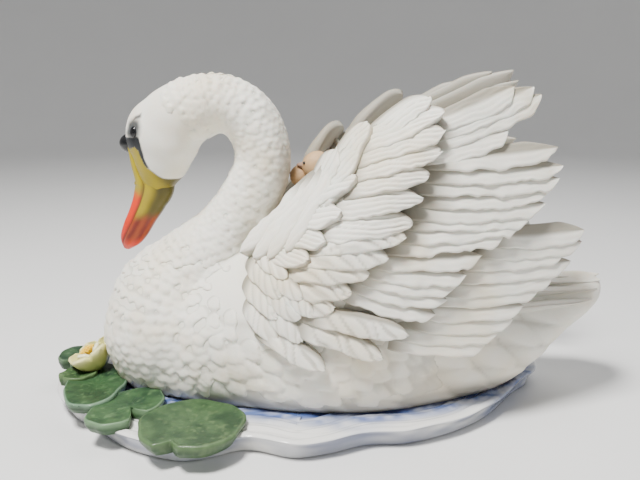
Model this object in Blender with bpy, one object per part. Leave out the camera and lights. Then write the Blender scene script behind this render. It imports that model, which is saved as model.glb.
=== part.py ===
"""Swan figurine: a porcelain swan on a plate of water, with raised, layered wings and two cygnets.

Lengths are in millimetres and become metres in make_mesh.
The swan looks to -X, its left side to -Y, and Z is up.
"""

import math

import bmesh
import bpy
from mathutils import Vector

# Scale of the drawing, and the middle of the figurine's outline in it
MM = 0.001
MIDDLE_X = 1.7
MIDDLE_Y = -6.5

# Neck with breast and head: x, z, half depth in the middle plane, half width
NECK_STATIONS = (
    (-63.0, 3.0, 26.0, 24.0),
    (-64.5, 18.0, 34.5, 33.0),
    (-65.0, 34.0, 37.2, 36.5),
    (-64.5, 49.0, 31.5, 32.0),
    (-57.5, 62.0, 20.5, 22.5),
    (-43.5, 77.0, 15.6, 16.5),
    (-31.3, 95.5, 13.6, 14.2),
    (-25.6, 113.0, 12.5, 12.8),
    (-31.0, 129.5, 12.5, 12.6),
    (-44.4, 137.2, 12.6, 12.6),
    (-59.5, 133.0, 15.0, 13.6),
    (-69.6, 124.2, 16.2, 13.6),
    (-72.6, 110.5, 14.8, 12.2),
    (-74.4, 101.5, 10.2, 8.8),
    (-75.6, 95.5, 5.5, 5.2),
)
NECK_SIDES = 16
NECK_STEPS = 2

# The head is turned to the swan's right about an upright line through its middle
HEAD_TURN = math.radians(26.0)
HEAD_MIDDLE_X = -70.0
HEAD_TURN_STARTS_X = -46.0
HEAD_LOWEST = 92.0
CROWN_CENTRE = (-71.6, 0.0, 122.8)
CROWN_RADII = (18.4, 14.4, 17.8)

# Bill before that turn: x, z, half depth, half width, from the knob down to the rounded tip
BILL_STATIONS = (
    (-87.2, 119.5, 4.6, 4.8),
    (-83.0, 110.0, 6.4, 6.8),
    (-78.0, 101.0, 10.0, 7.8),
    (-80.9, 93.0, 8.4, 6.8),
    (-85.5, 85.3, 6.9, 6.4),
    (-90.6, 77.5, 6.2, 6.2),
    (-94.4, 71.9, 4.7, 5.0),
    (-96.6, 67.8, 1.7, 2.1),
)
BILL_SIDES = 12
KNOB_CENTRE = (-91.6, 0.0, 118.6)
KNOB_RADII = (6.8, 5.2, 5.4)

# Body: x, keel height, back height, greatest half width, fullness below the greatest width
BODY_STATIONS = (
    (-92.0, 12.0, 40.0, 16.0, 2.2),
    (-82.0, 4.0, 50.0, 27.5, 2.6),
    (-66.0, 1.6, 60.0, 35.5, 3.0),
    (-42.0, 1.2, 70.0, 43.0, 3.6),
    (-15.0, 1.2, 76.0, 50.0, 4.0),
    (15.0, 1.2, 76.0, 51.5, 4.0),
    (38.0, 1.2, 71.0, 46.0, 4.0),
    (60.0, 1.4, 64.0, 37.0, 3.2),
    (78.0, 3.0, 59.0, 30.0, 2.5),
    (91.0, 8.0, 57.0, 25.5, 2.2),
    (102.0, 17.0, 56.5, 21.5, 2.1),
    (113.0, 29.5, 57.5, 18.5, 2.0),
    (123.0, 38.5, 58.5, 15.5, 2.0),
    (129.5, 45.0, 57.8, 11.0, 2.0),
    (132.2, 50.0, 56.0, 4.5, 2.0),
)
BODY_WIDEST_SHARE = 0.45
BODY_SIDES = 20

# Wing relief: its reach from the middle plane, and the valley line along which it leaves the neck
WING_REACH = 54.0
WING_SPREAD_START = 12.0
WING_FALL_BACK = 0.0021
WING_FALL_BACK_FROM = 10.0
WING_FALL_TOP = 0.0016
WING_FALL_TOP_FROM = 55.0
VALLEY_POINT = (-60.0, 47.0)
VALLEY_SLOPE = math.radians(51.0)
VALLEY_WIDTH = 36.0
VALLEY_WIDENING = 0.5
VALLEY_WIDE_BELOW = 70.0
WING_SHOULDER = 0.85

# Wing core under the feathers: each row runs from the valley edge to the fan edge
CORE_ROWS = (
    ((-33.0, 40.0), (40.0, 36.0)),
    ((-37.0, 47.0), (62.0, 48.0)),
    ((-38.5, 55.0), (79.0, 60.0)),
    ((-38.0, 63.0), (90.0, 73.0)),
    ((-36.5, 72.0), (92.0, 84.0)),
    ((-31.0, 81.5), (84.0, 101.0)),
    ((-24.0, 91.0), (80.0, 119.0)),
    ((-17.5, 99.0), (68.0, 131.0)),
    ((-12.0, 105.0), (42.0, 135.0)),
)
CORE_COLUMNS = 9
CORE_DEPTH = 4.2
CORE_THICKNESS_ROOT = 13.0
CORE_THICKNESS_FAN = 4.6
FAR_WING_LIFT = math.radians(4.0)
FAR_WING_PIVOT = (0.0, 60.0)

# Feathers of the near wing, each from where it leaves its cover to its tip, as x and z on the relief
PRIMARIES = (
    ((76.0, 80.5), (115.0, 84.5)),
    ((69.0, 76.0), (114.0, 79.5)),
    ((61.5, 71.5), (105.5, 76.0)),
    ((57.5, 66.0), (109.0, 71.5)),
    ((54.0, 60.5), (101.0, 66.0)),
    ((48.5, 57.0), (94.5, 61.0)),
    ((44.0, 51.5), (87.0, 54.0)),
    ((42.5, 46.5), (82.5, 48.5)),
    ((34.5, 42.5), (76.5, 43.5)),
    ((31.5, 38.5), (70.5, 39.0)),
)
SECONDARIES = (
    ((47.5, 113.0), (99.5, 120.0)),
    ((47.5, 107.5), (102.0, 112.5)),
    ((43.5, 103.0), (100.0, 107.5)),
    ((47.5, 97.5), (95.5, 102.5)),
    ((41.5, 93.0), (93.5, 97.5)),
    ((39.5, 89.0), (89.0, 93.5)),
    ((35.5, 84.0), (84.5, 90.5)),
    ((31.5, 79.5), (76.0, 86.0)),
    ((23.5, 74.0), (66.0, 77.5)),
    ((20.5, 70.5), (59.5, 70.0)),
    ((18.0, 67.5), (55.5, 65.0)),
    ((15.0, 64.5), (52.0, 60.0)),
    ((11.0, 61.0), (47.0, 54.0)),
)
TERTIALS = (
    ((50.0, 129.5), (80.0, 145.0)),
    ((50.0, 125.5), (89.0, 145.0)),
    ((47.0, 120.5), (92.3, 141.8)),
    ((44.0, 116.0), (77.0, 127.5)),
)
COVERTS = (
    ((26.0, 122.0), (43.5, 140.0)),
    ((20.0, 118.0), (48.5, 134.5)),
    ((17.5, 112.5), (49.0, 127.5)),
    ((16.5, 107.0), (47.5, 119.5)),
    ((15.5, 101.0), (43.0, 110.5)),
    ((8.5, 92.0), (40.0, 101.5)),
    ((2.5, 83.0), (36.5, 92.0)),
    ((-2.5, 77.5), (33.5, 86.5)),
    ((-6.5, 72.5), (27.0, 78.5)),
    ((-12.0, 67.0), (19.0, 72.0)),
    ((-8.0, 60.5), (12.0, 65.0)),
    ((-9.0, 54.5), (5.5, 58.5)),
)
LESSER_COVERTS = (
    ((12.0, 110.0), (20.5, 129.0)),
    ((3.0, 99.0), (8.0, 118.5)),
    ((5.0, 98.0), (15.8, 119.0)),
    ((-5.5, 93.5), (15.0, 109.0)),
    ((-8.0, 86.0), (9.0, 95.5)),
    ((-11.0, 79.5), (2.5, 84.5)),
    ((-15.5, 73.5), (-4.0, 76.5)),
)
SCAPULARS = (
    ((-7.0, 105.5), (-30.0, 72.0)),
    ((-2.0, 107.5), (-17.5, 77.0)),
    ((4.5, 111.0), (-11.0, 79.0)),
)
SHOULDER_SCALLOPS = (
    ((-24.0, 72.0), (-13.0, 69.0)),
    ((-26.0, 65.0), (-15.5, 61.5)),
    ((-17.0, 64.5), (-7.0, 62.0)),
    ((-27.5, 57.0), (-17.0, 52.5)),
    ((-18.0, 57.0), (-8.0, 53.5)),
    ((-12.0, 58.5), (-2.0, 55.0)),
    ((-28.0, 49.0), (-17.5, 43.5)),
    ((-18.0, 49.5), (-7.5, 44.0)),
)
ALULA = (
    ((-1.0, 50.0), (35.0, 46.5)),
    ((-6.0, 44.5), (25.0, 37.5)),
    ((-20.0, 40.0), (1.6, 33.0)),
)
# The far wing is held a little differently at its top
FAR_TERTIALS = (
    ((48.0, 127.0), (78.0, 142.5)),
    ((52.0, 127.0), (89.5, 146.0)),
    ((54.0, 123.5), (99.2, 146.0)),
    ((54.0, 119.0), (101.5, 141.0)),
    ((44.0, 114.0), (80.0, 127.0)),
)
FAR_TOP_COVERTS = (
    ((27.0, 121.0), (46.5, 138.5)),
    ((22.0, 115.5), (44.0, 130.5)),
)
FAR_TOP_LESSER_COVERT = ((4.0, 108.0), (15.0, 125.5))
# Each group: width, how far its faces stand above the relief, edge lift, thickness, bend
WING_GROUPS = (
    (10.0, -3.6, 1.1, 5.0, -1.0),
    (11.0, -2.4, 1.0, 6.5, -2.0),
    (9.6, -1.6, 1.3, 6.8, -1.2),
    (10.5, 0.8, 1.2, 8.4, 1.6),
    (10.0, 2.0, 1.0, 9.2, 1.6),
    (5.5, 2.8, 0.5, 9.4, 1.0),
    (9.0, 1.2, 0.5, 8.0, 0.5),
    (8.5, 2.4, 0.8, 10.0, 1.0),
)
NEAR_FEATHERS = (
    PRIMARIES, TERTIALS, SECONDARIES, COVERTS, LESSER_COVERTS, SCAPULARS, SHOULDER_SCALLOPS, ALULA,
)
FAR_FEATHERS = (
    PRIMARIES, FAR_TERTIALS, SECONDARIES, FAR_TOP_COVERTS + COVERTS[2:],
    (FAR_TOP_LESSER_COVERT,) + LESSER_COVERTS[1:], SCAPULARS, SHOULDER_SCALLOPS, ALULA,
)
TUCKED_LENGTH = 9.0
FEATHER_RISE = 1.6
ROOT_SINK = 2.5
FEATHER_CROWN = 0.8
FEATHER_THINNING = 0.55
KEEL_SHIFT = 0.3
# Share of the length and of the width along a feather
FEATHER_STATIONS = ((0.0, 0.72), (0.45, 1.0), (0.8, 0.86), (0.95, 0.44))
FEATHER_END = (1.0, 0.08)

# Tail feathers over the wedge of the tail, from the middle outwards: start x, y, z and tip x, y, z
TAIL_FEATHERS = (
    ((86.0, 0.0, 57.5), (132.4, 0.0, 57.6)),
    ((86.0, 7.0, 56.6), (131.2, 5.0, 56.4)),
    ((86.0, 13.5, 54.0), (128.6, 9.5, 54.0)),
    ((86.0, 19.5, 48.5), (125.0, 13.5, 50.0)),
)
TAIL_FEATHER_WIDTH = 9.0
TAIL_FEATHER_THICKNESS = 5.0
TAIL_FEATHER_CROWN = 0.7

# Plate of water: its wavy rim in plan, front side from the bow to the stern, then the back side
RIM_POINTS = (
    (-124.0, 3.0), (-121.5, -19.5), (-112.0, -36.0), (-99.5, -47.0), (-85.0, -61.0), (-70.5, -70.0),
    (-54.0, -75.0), (-41.0, -71.5), (-29.0, -66.5), (-11.5, -72.5), (4.0, -69.5), (20.0, -62.5),
    (36.5, -61.0), (54.0, -53.5), (68.5, -43.5), (80.0, -32.0), (94.5, -12.0), (104.5, -1.0),
    (108.5, 12.0), (104.0, 25.0), (92.0, 34.0), (80.0, 44.0), (62.0, 50.5), (46.0, 58.5),
    (27.0, 61.5), (10.0, 68.5), (-9.0, 67.0), (-27.0, 70.5), (-45.0, 66.0), (-62.0, 65.5),
    (-79.0, 57.0), (-93.0, 51.5), (-106.0, 39.0), (-117.0, 26.0),
)
PLATE_HEIGHT = 9.0
PLATE_FLARE = 4.0
PLATE_SIDES = 68
RIPPLE_HEIGHT = 0.9
RIPPLE_COUNT = 17
RIPPLE_SLANT = 0.09
FOOT_WIDTH = 9.0
RECESS_DEPTH = 2.5
VENT_RADIUS = 5.5
VENT_DEPTH = 14.0
VENT_CENTRE = (8.0, 0.0)
VENT_SIDES = 24

# Lily pads: middle x, y, height of the top, half length, half width, turn, place of the notch, its depth.
# Turn and place are in degrees, the place from the long axis, and the depth is a share of the radius.
LILY_PADS = (
    (-52.0, -61.0, 12.4, 22.4, 22.6, 0.0, 252.0, 0.25),
    (-82.0, -46.5, 13.0, 20.5, 13.0, 62.0, 253.0, 0.75),
    (-101.5, -26.0, 13.8, 24.0, 14.0, 98.0, 20.0, 0.3),
    (-116.5, 5.0, 15.6, 12.5, 12.5, 80.0, 160.0, 0.4),
    (-112.5, -16.0, 14.8, 9.0, 7.5, 20.0, 200.0, 0.3),
)
PAD_THICKNESS = 5.5
PAD_DISH = 1.2
PAD_NOTCH_ANGLE = 14.0
PAD_SIDES = 24

# Water lily: a half open cup of petals on the pads beside the breast
LILY_BASE = (-104.8, -9.0, 14.0)
LILY_AXIS = (-0.47, -0.10, 0.88)
# Rings of petals: how many, length, opening angle, width
PETAL_RINGS = ((5, 15.0, 1.05, 13.0), (3, 13.0, 0.62, 9.0))
PETAL_THICKNESS = 1.8
PETAL_STATIONS = ((0.0, 0.35), (0.3, 0.88), (0.62, 1.0), (0.88, 0.6), (1.0, 0.1))
PETAL_CURL = 0.5
LILY_HEART_RADIUS = 4.6

# Cygnets: middle of the body, its radius, middle of the head, its radius, and where the bill points
CYGNETS = (
    ((13.0, -4.0, 91.0), 10.5, (-1.5, -0.5, 109.0), 6.8, (-0.94, 0.35)),
    ((6.0, 9.0, 86.0), 9.5, (-9.0, 5.0, 103.5), 5.3, (-0.30, 0.95)),
)
CYGNET_BODY_LENGTH = 1.7
CYGNET_BODY_WIDTH = 0.85
CYGNET_NECK_STATIONS = ((0.0, 0.75), (0.35, 0.68), (0.7, 0.56), (1.0, 0.5))
CYGNET_BILL_STATIONS = ((0.0, 1.0), (0.6, 0.7), (1.0, 0.25))
CYGNET_BILL_LENGTH = 5.0
CYGNET_BILL_HALF_WIDTH = 2.6
CYGNET_BILL_HALF_DEPTH = 1.7

# Share of the triangles kept where the feathers' crossings leave slivers
KEPT_TRIANGLES = 0.58
WELD_DISTANCE = 2e-7

# Finish
BISQUE_COLOUR = (0.80, 0.77, 0.70, 1.0)
BISQUE_ROUGHNESS = 0.55


def smooth_path(points, steps):
    """Catmull-Rom points through the given tuples, with this many steps between neighbours."""
    ends = [points[0]] + list(points) + [points[-1]]
    path = []
    for a, b, c, d in zip(ends, ends[1:], ends[2:], ends[3:]):
        for step in range(steps):
            t = step / steps
            path.append(tuple(catmull_rom(p, t) for p in zip(a, b, c, d)))
    path.append(tuple(points[-1]))
    return path


def catmull_rom(p, t):
    linear = p[2] - p[0]
    square = 2 * p[0] - 5 * p[1] + 4 * p[2] - p[3]
    cube = 3 * (p[1] - p[2]) + p[3] - p[0]
    return p[1] + 0.5 * (linear * t + square * t**2 + cube * t**3)


def closed_outline(points, count):
    """Evenly numbered points on the closed smooth curve through the given ones."""
    outline = []
    for number in range(count):
        place = number * len(points) / count
        first = int(place)
        four = [points[(first + k) % len(points)] for k in (-1, 0, 1, 2)]
        outline.append(tuple(catmull_rom(p, place - first) for p in zip(*four)))
    return outline


def make_mesh(name, points, faces, collection):
    """A closed mesh object from millimetre points, with its faces turned outwards."""
    mesh = bpy.data.meshes.new(name)
    shifted = [((x - MIDDLE_X) * MM, (y - MIDDLE_Y) * MM, z * MM) for x, y, z in points]
    mesh.from_pydata(shifted, [], faces)
    shape = bmesh.new()
    shape.from_mesh(mesh)
    bmesh.ops.recalc_face_normals(shape, faces=shape.faces)
    shape.to_mesh(mesh)
    shape.free()
    made = bpy.data.objects.new(name, mesh)
    collection.objects.link(made)
    return made


def loft(name, rings, collection):
    """A closed body through rings of equal length, capped at both ends."""
    sides = len(rings[0])
    points = [point for ring in rings for point in ring]
    faces = []
    for row in range(len(rings) - 1):
        for side in range(sides):
            after = (side + 1) % sides
            low, high = row * sides, (row + 1) * sides
            faces.append((low + side, low + after, high + after, high + side))
    faces.append(tuple(range(sides)))
    faces.append(tuple(range(len(points) - sides, len(points))))
    return make_mesh(name, points, faces, collection)


def swept_rings(stations, sides):
    """Oval rings square to a path in the middle plane; a station is x, z, half depth and half width."""
    rings = []
    for number, (x, z, deep, wide) in enumerate(stations):
        before = stations[max(number - 1, 0)]
        after = stations[min(number + 1, len(stations) - 1)]
        along = Vector((after[0] - before[0], 0.0, after[1] - before[1])).normalized()
        across = Vector((-along.z, 0.0, along.x))
        middle = Vector((x, 0.0, z))
        ring = []
        for side in range(sides):
            angle = 2 * math.pi * (side + 0.5) / sides
            sideways = Vector((0.0, wide * math.sin(angle), 0.0))
            ring.append(middle + across * deep * math.cos(angle) + sideways)
        rings.append(ring)
    return rings


def turned(point, share):
    """The point after this share of the head's turn."""
    angle = HEAD_TURN * share
    forward = point[0] - HEAD_MIDDLE_X
    x = HEAD_MIDDLE_X + forward * math.cos(angle) + point[1] * math.sin(angle)
    y = -forward * math.sin(angle) + point[1] * math.cos(angle)
    return x, y, point[2]


def share_of_turn(x, z):
    """How far the neck has joined the head's turn, at a place on its line."""
    if z < HEAD_LOWEST:
        return 0.0
    share = (HEAD_TURN_STARTS_X - x) / (HEAD_TURN_STARTS_X - HEAD_MIDDLE_X)
    return min(max(share, 0.0), 1.0)


def add_neck(collection):
    stations = smooth_path(NECK_STATIONS, NECK_STEPS)
    rings = []
    for station, ring in zip(stations, swept_rings(stations, NECK_SIDES)):
        share = share_of_turn(station[0], station[1])
        rings.append([turned(point, share) for point in ring])
    loft("neck", rings, collection)
    add_ball("crown", turned(CROWN_CENTRE, 1.0), CROWN_RADII, collection, 14, 9)


def add_bill(collection):
    rings = [[turned(point, 1.0) for point in ring] for ring in swept_rings(BILL_STATIONS, BILL_SIDES)]
    loft("bill", rings, collection)
    add_ball("bill_knob", turned(KNOB_CENTRE, 1.0), KNOB_RADII, collection)


def add_ball(name, centre, radii, collection, segments=12, rings=8):
    shape = bmesh.new()
    bmesh.ops.create_uvsphere(shape, u_segments=segments, v_segments=rings, radius=1.0)
    points = [tuple(c + r * v for c, r, v in zip(centre, radii, vert.co)) for vert in shape.verts]
    faces = [tuple(vert.index for vert in face.verts) for face in shape.faces]
    shape.free()
    return make_mesh(name, points, faces, collection)


def add_body(collection):
    rings = []
    for x, keel, back, half_width, fullness in smooth_path(BODY_STATIONS, 2):
        widest = keel + BODY_WIDEST_SHARE * (back - keel)
        ring = []
        for side in range(BODY_SIDES):
            angle = 2 * math.pi * (side + 0.5) / BODY_SIDES
            up = math.cos(angle)
            out = math.sin(angle)
            power = 2.0 / (2.0 if up > 0 else fullness)
            y = half_width * math.copysign(abs(out) ** power, out)
            z = widest + (back - widest if up > 0 else widest - keel) * math.copysign(abs(up) ** power, up)
            ring.append((x, y, z))
        rings.append(ring)
    loft("body", rings, collection)


def wing_reach(x, z):
    """How far the wing's face stands from the middle plane over a point of the side view."""
    full = WING_REACH
    full -= WING_FALL_BACK * max(0.0, x - WING_FALL_BACK_FROM) ** 2
    full -= WING_FALL_TOP * max(0.0, z - WING_FALL_TOP_FROM) ** 2
    from_valley = (x - VALLEY_POINT[0]) * math.sin(VALLEY_SLOPE)
    from_valley -= (z - VALLEY_POINT[1]) * math.cos(VALLEY_SLOPE)
    width = VALLEY_WIDTH + VALLEY_WIDENING * max(0.0, VALLEY_WIDE_BELOW - z)
    share = min(max(from_valley / width, 0.0), 1.0)
    return WING_SPREAD_START + (full - WING_SPREAD_START) * math.sin(0.5 * math.pi * share**WING_SHOULDER)


def on_wing(x, z, above, far):
    """The point at this height above the near wing's relief, or its mirror image on the lifted far wing."""
    step = 0.5
    slope_x = (wing_reach(x + step, z) - wing_reach(x - step, z)) / (2 * step)
    slope_z = (wing_reach(x, z + step) - wing_reach(x, z - step)) / (2 * step)
    out = Vector((-slope_x, 1.0, -slope_z)).normalized()
    point = Vector((x, wing_reach(x, z), z)) + out * above
    if not far:
        return Vector((point.x, -point.y, point.z))
    x, z = point.x - FAR_WING_PIVOT[0], point.z - FAR_WING_PIVOT[1]
    lifted_x = x * math.cos(FAR_WING_LIFT) - z * math.sin(FAR_WING_LIFT)
    lifted_z = x * math.sin(FAR_WING_LIFT) + z * math.cos(FAR_WING_LIFT)
    return Vector((FAR_WING_PIVOT[0] + lifted_x, point.y, FAR_WING_PIVOT[1] + lifted_z))


def add_wing_core(side, far, collection):
    """The thick web that the feathers lie on, thinner towards the fan edge."""
    outer = []
    inner = []
    for front, back in CORE_ROWS:
        for column in range(CORE_COLUMNS):
            share = column / (CORE_COLUMNS - 1)
            x = front[0] + (back[0] - front[0]) * share
            z = front[1] + (back[1] - front[1]) * share
            thickness = CORE_THICKNESS_ROOT + (CORE_THICKNESS_FAN - CORE_THICKNESS_ROOT) * share
            outer.append(on_wing(x, z, -CORE_DEPTH, far))
            inner.append(on_wing(x, z, -CORE_DEPTH - thickness, far))
    faces = []
    count = len(outer)
    rows = len(CORE_ROWS)
    for row in range(rows - 1):
        for column in range(CORE_COLUMNS - 1):
            a = row * CORE_COLUMNS + column
            face = (a, a + 1, a + CORE_COLUMNS + 1, a + CORE_COLUMNS)
            faces.append(face)
            faces.append(tuple(count + corner for corner in reversed(face)))
    edge = list(range(CORE_COLUMNS))
    edge += [row * CORE_COLUMNS + CORE_COLUMNS - 1 for row in range(1, rows)]
    edge += [(rows - 1) * CORE_COLUMNS + column for column in range(CORE_COLUMNS - 2, -1, -1)]
    edge += [row * CORE_COLUMNS for row in range(rows - 2, 0, -1)]
    for a, b in zip(edge, edge[1:] + edge[:1]):
        faces.append((a, b, count + b, count + a))
    make_mesh(side + "_core", outer + inner, faces, collection)


def feather_rings(root, tip, group, far):
    """Rings of one feather: a crowned blade whose lower edge stands proud and whose root is tucked in."""
    width, above, lift, thickness, bend = group
    start = Vector(root)
    end = Vector(tip)
    along = (end - start).normalized()
    across = Vector((-along.y, along.x))
    start += across * 0.5 * width - along * TUCKED_LENGTH
    rings = []
    for share, wide in FEATHER_STATIONS + (FEATHER_END,):
        middle = start.lerp(end, share) + across * bend * 4 * share * (1 - share)
        half = 0.5 * width * wide
        height = above + FEATHER_RISE * (share - 1)
        if share == 0.0:
            height -= ROOT_SINK
        low, high = middle - across * half, middle + across * half
        edge = lift * wide
        deep = thickness * (1.0 - FEATHER_THINNING * share)
        under = middle - across * half * KEEL_SHIFT
        rings.append((
            on_wing(low.x, low.y, height + edge, far),
            on_wing(middle.x, middle.y, height + FEATHER_CROWN * wide, far),
            on_wing(high.x, high.y, height - edge, far),
            on_wing(under.x, under.y, height - deep, far),
        ))
    return rings


def add_wing(far, collection):
    side = "far_wing" if far else "near_wing"
    add_wing_core(side, far, collection)
    for group, feathers in enumerate(FAR_FEATHERS if far else NEAR_FEATHERS):
        for number, (root, tip) in enumerate(feathers):
            rings = feather_rings(root, tip, WING_GROUPS[group], far)
            loft(f"{side}_{group}_{number}", rings, collection)


def rim_outline(inset):
    """The rim in plan, drawn in by this much towards its own inside."""
    outline = closed_outline(RIM_POINTS, PLATE_SIDES)
    moved = []
    for number, point in enumerate(outline):
        before = Vector(outline[number - 1])
        after = Vector(outline[(number + 1) % len(outline)])
        along = (after - before).normalized()
        moved.append((point[0] - along.y * inset, point[1] + along.x * inset))
    return moved


def add_plate(collection):
    """The water: a plate with a flared wavy rim and ripples that run in from it."""
    def ring(inset, height, ripple):
        points = []
        for number, (x, y) in enumerate(rim_outline(inset)):
            wave = math.sin(2 * math.pi * RIPPLE_COUNT * number / PLATE_SIDES + RIPPLE_SLANT * inset)
            points.append((x, y, height + ripple * wave))
        return points

    rings = (
        ring(PLATE_FLARE, 0.0, 0.0),
        ring(PLATE_FLARE * 0.7, PLATE_HEIGHT * 0.45, 0.0),
        ring(0.4, PLATE_HEIGHT * 0.8, RIPPLE_HEIGHT * 0.6),
        ring(0.0, PLATE_HEIGHT, RIPPLE_HEIGHT),
        ring(2.2, PLATE_HEIGHT + 0.8, RIPPLE_HEIGHT),
        ring(9.0, PLATE_HEIGHT - 0.4, RIPPLE_HEIGHT * 0.7),
        ring(17.0, PLATE_HEIGHT + 0.6, RIPPLE_HEIGHT * 0.4),
        ring(25.0, PLATE_HEIGHT, 0.0),
    )
    loft("water_plate", rings, collection)


def add_underside_cutters(collection):
    """The recess inside the foot rim, and the vent hole that a slip-cast hollow needs."""
    outline = rim_outline(PLATE_FLARE + FOOT_WIDTH)
    rings = [[(x, y, z) for x, y in outline] for z in (-RECESS_DEPTH, RECESS_DEPTH)]
    recess = loft("foot_recess", rings, collection)
    circle = []
    for number in range(VENT_SIDES):
        angle = 2 * math.pi * number / VENT_SIDES
        x = VENT_CENTRE[0] + VENT_RADIUS * math.cos(angle)
        y = VENT_CENTRE[1] + VENT_RADIUS * math.sin(angle)
        circle.append((x, y))
    rings = [[(x, y, z) for x, y in circle] for z in (-VENT_RADIUS, VENT_DEPTH)]
    vent = loft("vent_hole", rings, collection)
    return recess, vent


def add_lily_pad(number, pad, collection):
    """A round leaf with a notch, dished a little towards its middle."""
    x, y, top, half_length, half_width, turn, notch_at, notch_depth = pad
    c, s = math.cos(math.radians(turn)), math.sin(math.radians(turn))

    def ring(share, height):
        points = []
        for side in range(PAD_SIDES):
            past_notch = 360.0 * side / PAD_SIDES
            near_notch = 1.0 - min(past_notch, 360.0 - past_notch, PAD_NOTCH_ANGLE) / PAD_NOTCH_ANGLE
            radius = share * (1.0 - notch_depth * near_notch * share)
            angle = math.radians(notch_at + past_notch)
            u = half_length * radius * math.cos(angle)
            v = half_width * radius * math.sin(angle)
            points.append((x + u * c - v * s, y + u * s + v * c, height))
        return points

    rings = (
        ring(0.9, top - PAD_THICKNESS),
        ring(0.99, top - PAD_THICKNESS * 0.5),
        ring(1.0, top - 0.4),
        ring(0.94, top),
        ring(0.5, top - PAD_DISH * 0.6),
        ring(0.12, top - PAD_DISH),
    )
    loft(f"lily_pad_{number}", rings, collection)


def add_water_lily(collection):
    """A cup of petals round a plain heart, opening away from the breast."""
    axis = Vector(LILY_AXIS).normalized()
    side = axis.cross(Vector((0.0, 1.0, 0.0))).normalized()
    front = side.cross(axis)
    base = Vector(LILY_BASE)
    for ring_number, (count, length, opening, width) in enumerate(PETAL_RINGS):
        for number in range(count):
            turn = 2 * math.pi * (number + 0.5 * ring_number) / count
            out = side * math.cos(turn) + front * math.sin(turn)
            flat = axis.cross(out)
            rings = []
            for share, wide in PETAL_STATIONS:
                bow = opening * (1.0 + PETAL_CURL * (0.4 - share))
                middle = base + (out * math.sin(bow) + axis * math.cos(bow)) * length * share
                outward = out * math.cos(bow) - axis * math.sin(bow)
                half = flat * 0.5 * width * wide
                hollow = outward * 0.25 * width * wide
                rings.append((
                    middle - half,
                    middle + hollow - outward * 0.5 * PETAL_THICKNESS,
                    middle + half,
                    middle + hollow + outward * 0.5 * PETAL_THICKNESS,
                ))
            loft(f"petal_{ring_number}_{number}", rings, collection)
    heart = tuple(base + axis * LILY_HEART_RADIUS)
    add_ball("lily_heart", heart, (LILY_HEART_RADIUS,) * 3, collection, 10, 6)


def add_cygnet(number, cygnet, collection):
    """A cygnet: an egg of a body that lies level, a short neck, a round head and a small bill."""
    middle, radius, head, head_radius, bill_points = cygnet
    name = f"cygnet_{number}"
    body_radii = (radius * CYGNET_BODY_LENGTH, radius * CYGNET_BODY_WIDTH, radius)
    add_ball(name + "_body", middle, body_radii, collection)
    add_ball(name + "_head", head, (head_radius,) * 3, collection)
    neck = []
    for share, wide in CYGNET_NECK_STATIONS:
        place = Vector(middle).lerp(Vector(head), share)
        ring = []
        for side in range(8):
            angle = 2 * math.pi * side / 8
            ring.append(place + Vector((math.cos(angle), math.sin(angle), 0.0)) * radius * wide)
        neck.append(ring)
    loft(name + "_neck", neck, collection)
    forward = Vector((bill_points[0], bill_points[1], 0.0)).normalized()
    sideways = Vector((-forward.y, forward.x, 0.0))
    bill = []
    for share, wide in CYGNET_BILL_STATIONS:
        place = Vector(head) + forward * (0.7 * head_radius + CYGNET_BILL_LENGTH * share)
        ring = []
        for side in range(6):
            angle = 2 * math.pi * side / 6
            across = sideways * CYGNET_BILL_HALF_WIDTH * math.cos(angle)
            upward = Vector((0.0, 0.0, CYGNET_BILL_HALF_DEPTH * math.sin(angle)))
            ring.append(place + (across + upward) * wide)
        bill.append(ring)
    loft(name + "_bill", bill, collection)


def add_tail(collection):
    """Short broad feathers over the wedge of the tail, the middle one on top."""
    for number, (start, end) in enumerate(TAIL_FEATHERS):
        for sign in (-1.0, 1.0) if number else (1.0,):
            rings = []
            for share, wide in FEATHER_STATIONS + (FEATHER_END,):
                x, y, z = Vector(start).lerp(Vector(end), share)
                half = 0.5 * TAIL_FEATHER_WIDTH * wide
                rings.append((
                    (x, sign * y - half, z - 0.5 * TAIL_FEATHER_CROWN),
                    (x, sign * y, z + TAIL_FEATHER_CROWN * wide),
                    (x, sign * y + half, z - 0.5 * TAIL_FEATHER_CROWN),
                    (x, sign * y, z - TAIL_FEATHER_THICKNESS * wide),
                ))
            loft(f"tail_{number}_{'near' if sign < 0 else 'far'}", rings, collection)


def join(target, collection):
    """Unites everything in the collection with the target."""
    modifier = target.modifiers.new("union_" + collection.name, "BOOLEAN")
    modifier.operation = "UNION"
    modifier.operand_type = "COLLECTION"
    modifier.collection = collection
    modifier.solver = "MANIFOLD"


def cut(target, cutter):
    modifier = target.modifiers.new("cut_" + cutter.name, "BOOLEAN")
    modifier.operation = "DIFFERENCE"
    modifier.object = cutter
    modifier.solver = "MANIFOLD"


def settle(target):
    """Makes what the modifiers give the object's own mesh."""
    graph = bpy.context.evaluated_depsgraph_get()
    solid = bpy.data.meshes.new_from_object(target.evaluated_get(graph))
    target.modifiers.clear()
    target.data = solid


def fill_pockets(target):
    """Removes the inner shells that the joined feathers close off between them."""
    shape = bmesh.new()
    shape.from_mesh(target.data)
    unseen = set(shape.verts)
    while unseen:
        shell = {unseen.pop()}
        front = list(shell)
        while front:
            vert = front.pop()
            for edge in vert.link_edges:
                other = edge.other_vert(vert)
                if other in unseen:
                    unseen.discard(other)
                    shell.add(other)
                    front.append(other)
        faces = {face for vert in shell for face in vert.link_faces}
        if volume_of(faces) < 0:
            bmesh.ops.delete(shape, geom=list(shell), context="VERTS")
    shape.to_mesh(target.data)
    shape.free()


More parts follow.
